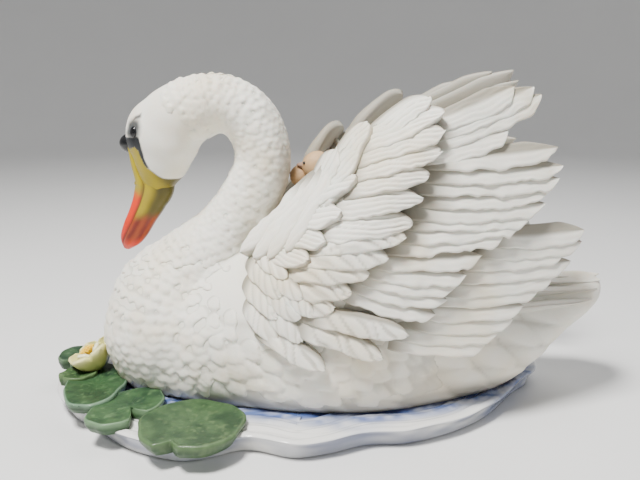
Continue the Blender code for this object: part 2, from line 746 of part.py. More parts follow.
def drop_flaps(target):
    """Removes faces folded flat on each other, which have no thickness between them."""
    shape = bmesh.new()
    shape.from_mesh(target.data)
    bmesh.ops.triangulate(shape, faces=shape.faces)
    bmesh.ops.remove_doubles(shape, verts=shape.verts, dist=WELD_DISTANCE)
    found = True
    while found:
        corners = {}
        for face in shape.faces:
            corners.setdefault(frozenset(face.verts), []).append(face)
        found = [face for faces in corners.values() if len(faces) > 1 for face in faces]
        for face in shape.faces:
            if any(len(edge.link_faces) == 1 for edge in face.edges):
                found.append(face)
        bmesh.ops.delete(shape, geom=list(set(found)), context="FACES")
    shape.to_mesh(target.data)
    shape.free()


def volume_of(faces):
    """Six times the signed volume inside the faces, negative where they face into a pocket."""
    total = 0.0
    for face in faces:
        corners = [vert.co for vert in face.verts]
        for second, third in zip(corners[1:], corners[2:]):
            total += corners[0].dot(second.cross(third))
    return total


def bisque_material():
    material = bpy.data.materials.new("bisque_porcelain")
    material.use_nodes = True
    shader = material.node_tree.nodes["Principled BSDF"]
    shader.inputs["Base Color"].default_value = BISQUE_COLOUR
    shader.inputs["Roughness"].default_value = BISQUE_ROUGHNESS
    shader.inputs["Metallic"].default_value = 0.0
    return material


def hidden_collection(name):
    collection = bpy.data.collections.new(name)
    collection.hide_render = True
    bpy.context.scene.collection.children.link(collection)
    return collection


def build():
    for old in list(bpy.data.objects):
        bpy.data.objects.remove(old, do_unlink=True)
    figurine_parts = bpy.data.collections.new("swan_figurine")
    bpy.context.scene.collection.children.link(figurine_parts)
    shapes = hidden_collection("modelled_shapes")
    cutters = hidden_collection("cutters")

    add_neck(shapes)
    add_bill(shapes)
    add_body(shapes)
    add_tail(shapes)
    add_wing(False, shapes)
    add_wing(True, shapes)
    for number, cygnet in enumerate(CYGNETS):
        add_cygnet(number, cygnet, shapes)
    for number, pad in enumerate(LILY_PADS):
        add_lily_pad(number, pad, shapes)
    add_water_lily(shapes)
    add_plate(figurine_parts)

    figurine = bpy.data.objects["water_plate"]
    figurine.name = "swan_figurine"
    join(figurine, shapes)
    for cutter in add_underside_cutters(cutters):
        cut(figurine, cutter)
    bpy.context.view_layer.update()
    settle(figurine)
    fill_pockets(figurine)
    drop_flaps(figurine)
    fewer = figurine.modifiers.new("fewer_slivers", "DECIMATE")
    fewer.ratio = KEPT_TRIANGLES
    settle(figurine)
    drop_flaps(figurine)
    for helper in list(shapes.objects) + list(cutters.objects):
        helper.hide_render = True
        helper.display_type = "WIRE"
    figurine.data.materials.append(bisque_material())


build()
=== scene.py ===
import itertools
import math

import bmesh
import bpy
import numpy as np
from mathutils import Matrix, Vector
from mathutils.bvhtree import BVHTree


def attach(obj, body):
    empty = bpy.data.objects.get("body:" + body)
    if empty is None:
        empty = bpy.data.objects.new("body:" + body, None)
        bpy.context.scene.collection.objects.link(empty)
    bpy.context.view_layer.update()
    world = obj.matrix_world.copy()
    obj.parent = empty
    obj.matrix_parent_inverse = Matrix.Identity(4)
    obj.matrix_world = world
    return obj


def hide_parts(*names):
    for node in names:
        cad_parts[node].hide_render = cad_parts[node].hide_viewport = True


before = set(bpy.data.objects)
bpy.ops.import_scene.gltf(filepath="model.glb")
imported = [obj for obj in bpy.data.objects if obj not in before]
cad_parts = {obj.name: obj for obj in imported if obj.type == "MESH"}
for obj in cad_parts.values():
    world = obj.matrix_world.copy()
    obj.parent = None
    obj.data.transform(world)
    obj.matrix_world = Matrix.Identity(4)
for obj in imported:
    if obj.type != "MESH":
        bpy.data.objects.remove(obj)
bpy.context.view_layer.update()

BODY = "root"
NODE = "swan_figurine"

# The drawing is in millimetres, with the swan's middle plane at y = 0
MM = 0.001
MIDDLE_X = 1.7
MIDDLE_Y = -6.5

# Camera, in the drawing's millimetres
CAMERA_PLACE = (0.0, -321.0, 145.0)
CAMERA_TILT = math.radians(77.515)
CAMERA_LENS = 39.375
CAMERA_SENSOR = 36.0

# Neck with breast and head: x, z, half depth in the middle plane, half width
NECK_STATIONS = np.array((
    (-63, 3, 26, 24),
    (-64.5, 18, 34.5, 33),
    (-65, 34, 37.2, 36.5),
    (-64.5, 49, 31.5, 32),
    (-57.5, 62, 20.5, 22.5),
    (-43.5, 77, 15.6, 16.5),
    (-31.3, 95.5, 13.6, 14.2),
    (-25.6, 113, 12.5, 12.8),
    (-31, 129.5, 12.5, 12.6),
    (-44.4, 137.2, 12.6, 12.6),
    (-59.5, 133, 15, 13.6),
    (-69.6, 124.2, 16.2, 13.6),
    (-73.2, 110.5, 13.6, 12),
    (-75.4, 101.5, 8.6, 8.2),
    (-75.6, 95.5, 5.5, 5.2),
))

# The head is turned to the swan's right about an upright line through its middle
HEAD_TURN = math.radians(26.0)
HEAD_MIDDLE_X = -70.0
HEAD_TURN_STARTS_X = -46.0
HEAD_LOWEST = 92.0
CROWN_CENTRE = (-71.6, 0, 122.8)
CROWN_RADII = (18.4, 14.4, 17.8)

# Bill before that turn: x, z, half depth, half width
BILL_STATIONS = np.array((
    (-87.2, 119.5, 4.6, 4.8),
    (-83, 110, 6.4, 6.8),
    (-78, 101, 10, 7.8),
    (-80.9, 93, 8.4, 6.8),
    (-85.5, 85.3, 6.9, 6.4),
    (-90.6, 77.5, 6.2, 6.2),
    (-94.4, 71.9, 4.7, 5),
    (-96.6, 67.8, 1.7, 2.1),
))
KNOB_CENTRE = (-90.6, 0, 118.4)
KNOB_RADII = (5.8, 4.6, 4.7)
BILL_RINGS, BILL_SIDES = 90, 72
# Round the bill from the middle of its front: its mouth line, and the groove under it
MOUTH_ANGLE, MOUTH_WIDTH = 1.52, 0.085
GROOVE_ANGLE, GROOVE_WIDTH = 2.25, 0.16
RIDGE_WIDTH = 0.28

# Body: x, keel, back, half width, fullness of the section
BODY_STATIONS = np.array((
    (-92, 12, 40, 16, 2.2),
    (-82, 4, 50, 27.5, 2.6),
    (-66, 1.6, 60, 35.5, 3),
    (-42, 1.2, 70, 43, 3.6),
    (-15, 1.2, 76, 50, 4),
    (15, 1.2, 76, 51.5, 4),
    (38, 1.2, 71, 46, 4),
    (60, 1.4, 64, 37, 3.2),
    (78, 3, 59, 30, 2.5),
    (91, 8, 57, 25.5, 2.2),
    (102, 17, 56.5, 21.5, 2.1),
    (113, 29.5, 57.5, 18.5, 2),
    (123, 38.5, 58.5, 15.5, 2),
    (129.5, 45, 57.8, 11, 2),
    (132.2, 50, 56, 4.5, 2),
))
BODY_WIDEST_SHARE = 0.45

# Wing relief: its reach from the middle plane, and the valley line along which it leaves the neck
WING_REACH = 54.0
WING_FALL_BACK, WING_FALL_BACK_FROM = 0.0021, 10.0
WING_FALL_TOP, WING_FALL_TOP_FROM = 0.0016, 55.0
WING_SPREAD_START = 12.0
WING_SHOULDER = 0.85
VALLEY_X, VALLEY_Z = -60.0, 47.0
VALLEY_SLOPE = math.radians(51.0)
VALLEY_WIDTH = 36.0
VALLEY_WIDENING = 0.5
VALLEY_WIDE_BELOW = 70.0
CORE_ROWS = np.array((
    ((-33, 40), (40, 36)),
    ((-37, 47), (62, 48)),
    ((-38.5, 55), (79, 60)),
    ((-38, 63), (90, 73)),
    ((-36.5, 72), (92, 84)),
    ((-31, 81.5), (84, 101)),
    ((-24, 91), (80, 119)),
    ((-17.5, 99), (68, 131)),
    ((-12, 105), (42, 135)),
))
CORE_DEPTH = 4.2
CORE_THICKNESS_ROOT = 13.0
CORE_THICKNESS_FAN = 4.6
CORE_GRID = 60
FAN_SINK = 2.2
# The wing's root is part of the body's skin: how much of its length, its grid, and how far it stands out
ROOT_SHARE, ROOT_GRID, ROOT_RISE = 0.42, (40, 24), 0.6
FAR_WING_LIFT = math.radians(4.0)
FAR_WING_PIVOT = (0, 60)

# Feathers of the wing, each from where it leaves its cover to its tip, as x and z on the relief
PRIMARIES = (
    ((76, 80.5), (115, 84.5)),
    ((69, 76), (114, 79.5)),
    ((61.5, 71.5), (105.5, 76)),
    ((57.5, 66), (109, 71.5)),
    ((54, 60.5), (101, 66)),
    ((48.5, 57), (94.5, 61)),
    ((44, 51.5), (87, 54)),
    ((42.5, 46.5), (82.5, 48.5)),
    ((34.5, 42.5), (76.5, 43.5)),
    ((31.5, 38.5), (70.5, 39)),
)
SECONDARIES = (
    ((47.5, 113), (99.5, 120)),
    ((47.5, 107.5), (102, 112.5)),
    ((43.5, 103), (100, 107.5)),
    ((47.5, 97.5), (95.5, 102.5)),
    ((41.5, 93), (93.5, 97.5)),
    ((39.5, 89), (89, 93.5)),
    ((35.5, 84), (84.5, 90.5)),
    ((31.5, 79.5), (76, 86)),
    ((23.5, 74), (66, 77.5)),
    ((20.5, 70.5), (59.5, 70)),
    ((18, 67.5), (55.5, 65)),
    ((15, 64.5), (52, 60)),
    ((11, 61), (47, 54)),
)
TERTIALS = (
    ((50, 129.5), (80, 145)),
    ((50, 125.5), (89, 145)),
    ((47, 120.5), (92.3, 141.8)),
    ((44, 116), (77, 127.5)),
)
COVERTS = (
    ((26, 122), (43.5, 140)),
    ((20, 118), (48.5, 134.5)),
    ((17.5, 112.5), (49, 127.5)),
    ((16.5, 107), (47.5, 119.5)),
    ((15.5, 101), (43, 110.5)),
    ((8.5, 92), (40, 101.5)),
    ((2.5, 83), (36.5, 92)),
    ((-2.5, 77.5), (33.5, 86.5)),
    ((-6.5, 72.5), (27, 78.5)),
    ((-12, 67), (19, 72)),
    ((-8, 60.5), (12, 65)),
    ((-9, 54.5), (5.5, 58.5)),
)
LESSER_COVERTS = (
    ((12, 110), (20.5, 129)),
    ((3, 99), (8, 118.5)),
    ((5, 98), (15.8, 119)),
    ((-5.5, 93.5), (15, 109)),
    ((-8, 86), (9, 95.5)),
    ((-11, 79.5), (2.5, 84.5)),
    ((-15.5, 73.5), (-4, 76.5)),
)
SCAPULARS = (
    ((-10.5, 103.5), (-33, 72.5)),
    ((-6.5, 106), (-26.5, 72)),
    ((-1.5, 110), (-20, 74)),
    ((4, 113.5), (-12.5, 78)),
)
SHOULDER_SCALLOPS = (
    ((-24, 72), (-13, 69)),
    ((-26, 65), (-15.5, 61.5)),
    ((-17, 64.5), (-7, 62)),
    ((-27.5, 57), (-17, 52.5)),
    ((-18, 57), (-8, 53.5)),
    ((-12, 58.5), (-2, 55)),
    ((-28, 49), (-17.5, 43.5)),
    ((-18, 49.5), (-7.5, 44)),
)
ALULA = (
    ((-1, 50), (35, 46.5)),
    ((-6, 44.5), (25, 37.5)),
    ((-20, 40), (1.6, 33)),
)
FAR_TERTIALS = (
    ((48, 127), (78, 142.5)),
    ((52, 127), (89.5, 146)),
    ((54, 123.5), (99.2, 146)),
    ((54, 119), (101.5, 141)),
    ((44, 114), (80, 127)),
)
FAR_TOP_COVERTS = (
    ((27, 121), (46.5, 138.5)),
    ((22, 115.5), (44, 130.5)),
)
FAR_TOP_LESSER_COVERT = ((4, 108), (15, 125.5))
FAR_COVERTS = FAR_TOP_COVERTS + COVERTS[2:]
FAR_LESSER_COVERTS = (FAR_TOP_LESSER_COVERT,) + LESSER_COVERTS[1:]
# Each group: name, near and far feathers, and then width, height over the relief, edge lift, thickness,
# bend, wave of the lower edge, where the tip starts below and above, its roundness, crown, where the next
# covers it, and depth, spacing and turn of the grooves
WING_GROUPS = (
    ("primaries", PRIMARIES, PRIMARIES,
     10, -3.6, 1.4, 5, -1, 0.5, 0.88, 0.76, 0.35, 0.3, 0, 0.06, 2.6, 0.05),
    ("tertials", TERTIALS, FAR_TERTIALS,
     11, -2.4, 1.2, 6.5, -2, 0.7, 0.88, 0.74, 0.35, 0.3, 0.15, 0.12, 2.4, 0.05),
    ("secondaries", SECONDARIES, SECONDARIES,
     9.6, -1.6, 1.7, 6.8, -1.2, 1, 0.88, 0.76, 0.3, 0.3, 0, 0.07, 2.6, 0.05),
    ("coverts", COVERTS[:7], FAR_COVERTS[:7],
     10.5, 0.8, 1.3, 8.4, 1.6, 0.8, 0.64, 0.82, 0.9, 0.3, 0.6, 0.24, 2.1, 0.08),
    ("lower_coverts", COVERTS[7:], COVERTS[7:],
     10.5, 0.8, 1.3, 8.4, 1.6, 0.7, 0.62, 0.80, 0.95, 0.3, 0.45, 0.34, 5.2, 0.75),
    ("lesser_coverts", LESSER_COVERTS, FAR_LESSER_COVERTS,
     10, 2, 1.2, 9.2, 1.6, 0.8, 0.60, 0.82, 0.9, 0.3, 0.6, 0.24, 2, 0.08),
    ("scapulars", SCAPULARS, SCAPULARS,
     5.2, 2.6, 0.6, 9.4, 1, 0.6, 0.6, 0.78, 0.9, 1.9, 0.9, 0.12, 2, 0.12),
    ("shoulder_scallops", SHOULDER_SCALLOPS, SHOULDER_SCALLOPS,
     9, 1.2, 0.9, 8, 0.5, 0.6, 0.5, 0.6, 1, 0.9, 0.6, 0.25, 3.6, 0.9),
    ("alula", ALULA, ALULA,
     8.5, 2.4, 1, 10, 1, 0.7, 0.62, 0.75, 1, 0.4, 0.6, 0.38, 5.2, 0.8),
)
# Points of a feather along it, across its upper side and across its underside
NEAR_DETAIL, FAR_DETAIL = (44, 19, 5), (32, 15, 5)
FINER_GROUPS, FINER_BY = ("coverts", "lesser_coverts"), 6
WEB_SHADE = 0.55
NARROW_ROOT, BROAD_ROOT = 0.42, 0.8
TUCKED_LENGTH = 9.0
FEATHER_RISE = 1.6
FEATHER_THINNING = 0.55
ROOT_SINK = 2.5

# Tail feathers over the wedge of the tail, from the middle outwards: start x, y, z and tip x, y, z
TAIL_FEATHERS = (
    ((86, 0, 57.5), (132.4, 0, 57.6)),
    ((86, 7, 56.6), (131.2, 5, 56.4)),
    ((86, 13.5, 54), (128.6, 9.5, 54)),
    ((86, 19.5, 48.5), (125, 13.5, 50)),
)
TAIL_FEATHER_WIDTH = 9.0
TAIL_FEATHER_THICKNESS = 5.0

# Rings and sides of neck and body, and the cell sizes of the even skins
NECK_RINGS, NECK_SIDES = 90, 48
BODY_RINGS, BODY_SIDES = 90, 64
TRUNK_VOXEL = 1.2
PETAL_VOXEL = 0.66
CYGNET_VOXEL = 0.7

# Scales of neck and breast: a size on the neck, and what it gains down to the breast
SCALE_WIDTH = (4.0, 2.0)
SCALE_LENGTH = (4.8, 2.2)
SCALE_LIFT = (0.78, 0.02)
SCALE_STEP = (2.5, 1.2)
SCALES_START, SCALES_STOP = 14.0, 3.0
BREAST_BELOW = 66.0
# On the crown they start behind this line: heights, and the distances along the head
CROWN_SCALES_START = ((129.4, 131.1, 133.7, 138.7, 142), (-51.1, -54.3, -57.5, -61.5, -64))

# Lumps of the flank: shift, length and height of each of two layers
FLANK_LUMPS = ((0.0, 25.0, 10.5), (0.5, 21.0, 12.0))
# Feathers of the flank, in rows that sweep back and down
FLANK_SWEEP = (0.86, -0.51)
FLANK_START = (-20.0, 32.0)
FLANK_STEP, FLANK_ROW_STEP = 9.5, 6.2
FLANK_LENGTH, FLANK_HALF_WIDTH = 15.0, 5.0
FLANK_LIFT, FLANK_GROOVE = 1.25, 0.2

# A small feather's half width and rise from root to tip, as shares
PETAL_WIDTHS = ((0, 0.32, 0.6, 0.84, 1), (0.62, 0.88, 1, 0.97, 0.82))
PETAL_RISES = ((0, 0.32, 0.6, 0.84, 0.94, 1), (-0.6, 0.1, 0.65, 1, 0.92, 0.5))

# Plate of water
RIM_POINTS = np.array((
    (-124, 3), (-121.5, -19.5), (-112, -36), (-99.5, -47), (-85, -61), (-70.5, -70),
    (-54, -75), (-41, -71.5), (-29, -66.5), (-11.5, -72.5), (4, -69.5), (20, -62.5),
    (36.5, -61), (54, -53.5), (68.5, -43.5), (80, -32), (94.5, -12), (104.5, -1),
    (108.5, 12), (104, 25), (92, 34), (80, 44), (62, 50.5), (46, 58.5),
    (27, 61.5), (10, 68.5), (-9, 67), (-27, 70.5), (-45, 66), (-62, 65.5),
    (-79, 57), (-93, 51.5), (-106, 39), (-117, 26),
))
RIM_STEPS = 480
PLATE_HEIGHT = 9.0
PLATE_FLARE = 4.0
FOOT_WIDTH = 9.0
RECESS_DEPTH = 2.5
VENT_RADIUS = 5.5
VENT_DEPTH = 14.0
VENT_CENTRE = (8, 0)

# Lily pads: middle x, y, height of the top, half length, half width, turn, place of the notch, its depth
LILY_PADS = (
    (-52, -61, 12.4, 22.4, 22.6, 0, 252, 0.25),
    (-82, -46.5, 13, 20.5, 13, 62, 253, 0.75),
    (-101.5, -26, 13.8, 24, 14, 98, 20, 0.3),
    (-116.5, 5, 15.6, 12.5, 12.5, 80, 160, 0.4),
    (-112.5, -16, 14.8, 9, 7.5, 20, 200, 0.3),
)
PAD_NOTCH_ANGLE = 14.0
# Each pad's dark, middle, light and edge colour
PAD_COLOURS = (
    ((38, 62, 38), (62, 88, 54), (90, 112, 72), (92, 116, 78)),
    ((36, 62, 40), (58, 88, 54), (92, 122, 80), (118, 148, 112)),
    ((32, 56, 36), (52, 82, 50), (84, 114, 76), (124, 156, 128)),
    ((36, 58, 40), (56, 82, 54), (80, 102, 74), (98, 122, 94)),
    ((40, 64, 38), (64, 92, 52), (92, 120, 72), (104, 130, 84)),
)
LILY_BASE = np.array((-104.8, -9, 14))
LILY_AXIS = np.array((-0.47, -0.10, 0.88))
PETAL_RINGS = ((5, 15, 1.05, 13), (3, 13, 0.62, 9))
PETAL_CURL = 0.5
LILY_PETAL_THICKNESS = 1.3
LILY_HEART_RADIUS = 4.6
STAMENS, STAMEN_TURN, STAMEN_LENGTH = 30, 2.39996, 5.0
# Cygnets: middle of the body, its radius, middle of the head, its radius, and where the bill points
CYGNETS = (
    ((13, -4, 91), 10.5, (-1.5, -0.5, 109), 6.8, (-0.94, 0.35)),
    ((6, 9, 86), 9.5, (-9, 5, 103.5), 5.3, (-0.30, 0.95)),
)
CYGNET_BODY_LENGTH = 1.7
CYGNET_BODY_WIDTH = 0.85
CYGNET_BILL = (5.0, 2.6, 1.7)
CYGNET_EYE_RADIUS = 0.75

# Face, as distances along the head and heights before its turn; its skin is finer from here on
FACE_ABOVE, FACE_BEFORE = 98.0, -62.0
EYE = (-77.4, 124.6)
EYE_RADII = (2.1, 1, 2.6)
EYE_PATCH = np.array((
    (-82.6, 126.3), (-81.7, 128.9), (-78.1, 130.8), (-74.2, 130), (-73, 127.1),
    (-73.5, 123.6), (-75.5, 121.4), (-78.7, 120.8), (-81.7, 122), (-84, 123.6),
))
BROW = np.array((
    (-73.2, 131.2), (-73.6, 132.9), (-77.2, 131.7), (-80.6, 128.6), (-81.2, 126.8), (-77, 129.9),
))
BLACK_FACE = np.array((
    (-96, 122.6), (-84, 122), (-79, 122.3), (-76, 122.9), (-74, 122.3), (-73.2, 119.3),
    (-73, 116.1), (-73, 113.4), (-72.1, 110.7), (-71.3, 108.5), (-72.6, 108.7), (-74, 110.8),
    (-75, 113.4), (-75.4, 116.2), (-77.5, 118), (-79.5, 117.4), (-84, 116.4), (-96, 115),
))
YELLOW_FACE = np.array((
    (-96, 116), (-84, 116.9), (-79.5, 117.6), (-77.5, 118.3), (-75, 116.2), (-74.6, 113.4),
    (-73.6, 110.7), (-72.3, 108.8), (-70.8, 108), (-69.6, 107), (-68.2, 105.3), (-66.6, 104),
    (-63.5, 103.4), (-58, 102.6), (-58, 90), (-96, 90),
))

# Floor, which curves up far around the swan
FLOOR_RADIUS, FLOOR_CURVE, FLOOR_WALL = 1300.0, 900.0, 2200.0
FLOOR_TONE, FLOOR_TONE_LIGHT = (0.72, 0.72, 0.715), (0.76, 0.76, 0.755)

# Lights: name, place in metres, size, power and colour
ROOM_COLOUR, ROOM_STRENGTH = (0.95, 0.96, 1.0, 1.0), 0.30
LIGHT_AIM = (0, 0, 0.06)
LIGHTS = (
    ("key", (-0.26, -0.30, 0.86), 0.22, 18.5, (1.0, 0.985, 0.955)),
    ("top", (0.3, 0.3, 0.8), 0.6, 3.0, (1.0, 1.0, 1.0)),
    ("fill", (0.8, -0.5, 0.35), 0.8, 1.6, (0.94, 0.96, 1.0)),
)


# Small mathematics shared by the shapes
def smooth_step(low, high, value):
    t = np.clip((value - low) / (high - low), 0.0, 1.0)
    return t * t * (3.0 - 2.0 * t)


def catmull_rom(a, b, c, d, t):
    return b + 0.5 * ((c - a) * t + (2 * a - 5 * b + 4 * c - d) * t**2 + (3 * (b - c) + d - a) * t**3)


def smooth_path(points, count):
    """This many points at even parameter steps along the smooth curve through the given ones."""
    ends = np.vstack([points[:1], points, points[-1:]])
    place = np.linspace(0.0, len(points) - 1.0, count)
    first = np.minimum(place.astype(int), len(points) - 2)
    t = (place - first)[:, None]
    return catmull_rom(ends[first], ends[first + 1], ends[first + 2], ends[first + 3], t)


def closed_outline(points, count):
    """This many points on the smooth closed curve through the given ones."""
    place = np.arange(count) * len(points) / count
    first = place.astype(int)
    t = (place - first)[:, None]
    four = [points[(first + k) % len(points)] for k in (-1, 0, 1, 2)]
    return catmull_rom(*four, t)


def value_noise(x, seed):
    """Smooth noise from -1 to 1 along a line."""
    table = np.random.default_rng(seed).uniform(-1.0, 1.0, 256)
    cell = np.floor(x).astype(int)
    t = x - cell
    t = t * t * (3.0 - 2.0 * t)
    return table[cell % 256] * (1 - t) + table[(cell + 1) % 256] * t


def field_noise(p, size, seed):
    """Smooth noise from -1 to 1 in space, with features of about this size."""
    table = np.random.default_rng(seed).uniform(-1.0, 1.0, 4096)
    q = p / size
    cell = np.floor(q).astype(np.int64)
    t = q - cell
    t = t * t * (3.0 - 2.0 * t)
    total = np.zeros(len(p))
    for corner in range(8):
        step = np.array((corner & 1, corner >> 1 & 1, corner >> 2 & 1))
        at = cell + step
        key = (at[:, 0] * 73856093 ^ at[:, 1] * 19349663 ^ at[:, 2] * 83492791) % 4096
        share = np.prod(np.where(step == 1, t, 1.0 - t), axis=1)
        total += table[key] * share
    return total


def unit(vector):
    return vector / np.linalg.norm(vector)


def led_back(values, last):
    """Values round a closed line, the last few led back to the first."""
    values[-last:] = values[-last:] * np.linspace(1, 0, last) + values[0] * np.linspace(0, 1, last)
    return values


# Meshes
def make_mesh(name, points, faces):
    """A smooth object from millimetre points of the drawing, placed in the frame's metres."""
    shifted = (np.asarray(points, float) - (MIDDLE_X, MIDDLE_Y, 0.0)) * MM
    mesh = bpy.data.meshes.new(name)
    mesh.from_pydata(shifted.tolist(), [], faces)
    mesh.update()
    mesh.shade_smooth()
    made = bpy.data.objects.new(name, mesh)
    bpy.context.scene.collection.objects.link(made)
    return made


def points_of(piece):
    co = np.empty(len(piece.data.vertices) * 3)
    piece.data.vertices.foreach_get("co", co)
    return co.reshape(-1, 3) / MM + (MIDDLE_X, MIDDLE_Y, 0.0)


def move_points(piece, points):
    shifted = (points - (MIDDLE_X, MIDDLE_Y, 0.0)) * MM
    piece.data.vertices.foreach_set("co", shifted.ravel())
    piece.data.update()


def normals_of(piece):
    normals = np.empty(len(piece.data.vertices) * 3)
    piece.data.vertices.foreach_get("normal", normals)
    return normals.reshape(-1, 3)


def loft_faces(rings, sides, closed=True):
    row, side = np.meshgrid(np.arange(rings - 1), np.arange(sides if closed else sides - 1), indexing="ij")
    after = (side + 1) % sides
    low = row * sides
    return np.stack([low + side, low + after, low + sides + after, low + sides + side], -1).reshape(-1, 4)


def join_meshes(name, pieces):
    """One object of several closed shapes, with their faces turned outwards."""
    points, faces, attributes, start = [], [], {}, 0
    for part_points, part_faces, part_attributes in pieces:
        points.append(part_points)
        faces.extend([[corner + start for corner in face] for face in part_faces])
        for key, values in part_attributes.items():
            attributes.setdefault(key, []).append(values)
        start += len(part_points)
    made = make_mesh(name, np.vstack(points), faces)
    for key, values in attributes.items():
        set_values(made, key, np.concatenate(values))
    turn_outwards(made)
    return made


def turn_outwards(piece):
    shape = bmesh.new()
    shape.from_mesh(piece.data)
    bmesh.ops.recalc_face_normals(shape, faces=shape.faces)
    shape.to_mesh(piece.data)
    shape.free()
    piece.data.shade_smooth()


def set_values(piece, name, values):
    layer = piece.data.attributes.new(name, "FLOAT", "POINT")
    layer.data.foreach_set("value", np.asarray(values, np.float32))


def set_paint(piece, colours):
    """Painted colour at each point, as linear red, green and blue."""
    layer = piece.data.attributes.new("paint", "FLOAT_COLOR", "POINT")
    full = np.ones((len(colours), 4), np.float32)
    full[:, :3] = colours
    layer.data.foreach_set("color", full.ravel())


def swept_rings(stations, sides):
    """Oval rings square to a path in the middle plane."""
    centre = np.zeros((len(stations), 3))
    centre[:, 0] = stations[:, 0]
    centre[:, 2] = stations[:, 1]
    along = np.gradient(centre, axis=0)
    along /= np.linalg.norm(along, axis=1)[:, None]
    across = np.stack([-along[:, 2], np.zeros(len(along)), along[:, 0]], 1)
    angle = 2 * np.pi * (np.arange(sides) + 0.5) / sides
    deep = across[:, None, :] * stations[:, 2, None, None] * np.cos(angle)[None, :, None]
    wide = np.zeros((len(stations), sides, 3))
    wide[:, :, 1] = stations[:, 3, None] * np.sin(angle)[None, :]
    return centre[:, None, :] + deep + wide


def turned(points, share):
    """The points after this share of the head's turn."""
    angle = HEAD_TURN * share
    forward = points[..., 0] - HEAD_MIDDLE_X
    x = HEAD_MIDDLE_X + forward * np.cos(angle) + points[..., 1] * np.sin(angle)
    y = points[..., 1] * np.cos(angle) - forward * np.sin(angle)
    return np.stack([x, y, points[..., 2]], -1)


def before_turn(points):
    """Places on the head as they were before its turn."""
    forward = points[:, 0] - HEAD_MIDDLE_X
    c, s = math.cos(HEAD_TURN), math.sin(HEAD_TURN)
    x = HEAD_MIDDLE_X + forward * c - points[:, 1] * s
    return np.stack([x, forward * s + points[:, 1] * c, points[:, 2]], 1)


def share_of_turn(x, z):
    """How much of the head's turn a place on the neck takes part in."""
    share = np.clip((HEAD_TURN_STARTS_X - x) / (HEAD_TURN_STARTS_X - HEAD_MIDDLE_X), 0.0, 1.0)
    return np.where(z < HEAD_LOWEST, 0.0, share)


def ring_shape(rings, attributes=None):
    """Points and faces of a closed shape through rings of equal length."""
    count, sides = rings.shape[:2]
    faces = loft_faces(count, sides).tolist()
    faces.append(list(range(sides - 1, -1, -1)))
    faces.append(list(range((count - 1) * sides, count * sides)))
    return rings.reshape(-1, 3), faces, attributes or {}


def hoop(middle, side, front, count):
    """A ring of this many points round a middle, reaching out along two directions."""
    turn = 2 * np.pi * np.arange(count)[:, None] / count
    return middle + side * np.cos(turn) + front * np.sin(turn)


def ball(centre, radii, segments=32, rings=20):
    """Points and faces of an egg shape."""
    shape = bmesh.new()
    bmesh.ops.create_uvsphere(shape, u_segments=segments, v_segments=rings, radius=1.0)
    points = np.array([vert.co[:] for vert in shape.verts]) * radii + centre
    faces = [[vert.index for vert in face.verts] for face in shape.faces]
    shape.free()
    return points, faces, {}


def body_rings(count, sides):
    """Rings along the body, round above and fuller below."""
    rings = []
    for x, keel, back, half_width, fullness in smooth_path(BODY_STATIONS, count):
        widest = keel + BODY_WIDEST_SHARE * (back - keel)
        angle = 2 * np.pi * (np.arange(sides) + 0.5) / sides
        up, out = np.cos(angle), np.sin(angle)
        power = np.where(up > 0, 1.0, 2.0 / fullness)
        y = half_width * np.sign(out) * np.abs(out) ** power
        z = widest + np.where(up > 0, back - widest, widest - keel) * np.sign(up) * np.abs(up) ** power
        rings.append(np.stack([np.full(sides, x), y, z], 1))
    return np.array(rings)


# Wing relief
def wing_reach(x, z):
    """How far the near wing's relief stands from the middle plane."""
    full = WING_REACH - WING_FALL_BACK * np.maximum(0.0, x - WING_FALL_BACK_FROM) ** 2
    full = full - WING_FALL_TOP * np.maximum(0.0, z - WING_FALL_TOP_FROM) ** 2
    from_valley = (x - VALLEY_X) * math.sin(VALLEY_SLOPE) - (z - VALLEY_Z) * math.cos(VALLEY_SLOPE)
    width = VALLEY_WIDTH + VALLEY_WIDENING * np.maximum(0.0, VALLEY_WIDE_BELOW - z)
    share = np.clip(from_valley / width, 0.0, 1.0)
    return WING_SPREAD_START + (full - WING_SPREAD_START) * np.sin(0.5 * np.pi * share**WING_SHOULDER)


def on_wing(x, z, above, far):
    """Points at a height over the near wing's relief, or their mirror image on the lifted far wing."""
    step = 0.5
    slope_x = (wing_reach(x + step, z) - wing_reach(x - step, z)) / (2 * step)
    slope_z = (wing_reach(x, z + step) - wing_reach(x, z - step)) / (2 * step)
    out = np.stack([-slope_x, np.ones_like(x), -slope_z], -1)
    out /= np.linalg.norm(out, axis=-1)[..., None]
    point = np.stack([x, wing_reach(x, z), z], -1) + out * np.asarray(above)[..., None]
    if not far:
        point[..., 1] *= -1
        return point
    from_x = point[..., 0] - FAR_WING_PIVOT[0]
    from_z = point[..., 2] - FAR_WING_PIVOT[1]
    c, s = math.cos(FAR_WING_LIFT), math.sin(FAR_WING_LIFT)
    point[..., 0] = FAR_WING_PIVOT[0] + from_x * c - from_z * s
    point[..., 2] = FAR_WING_PIVOT[1] + from_x * s + from_z * c
    return point


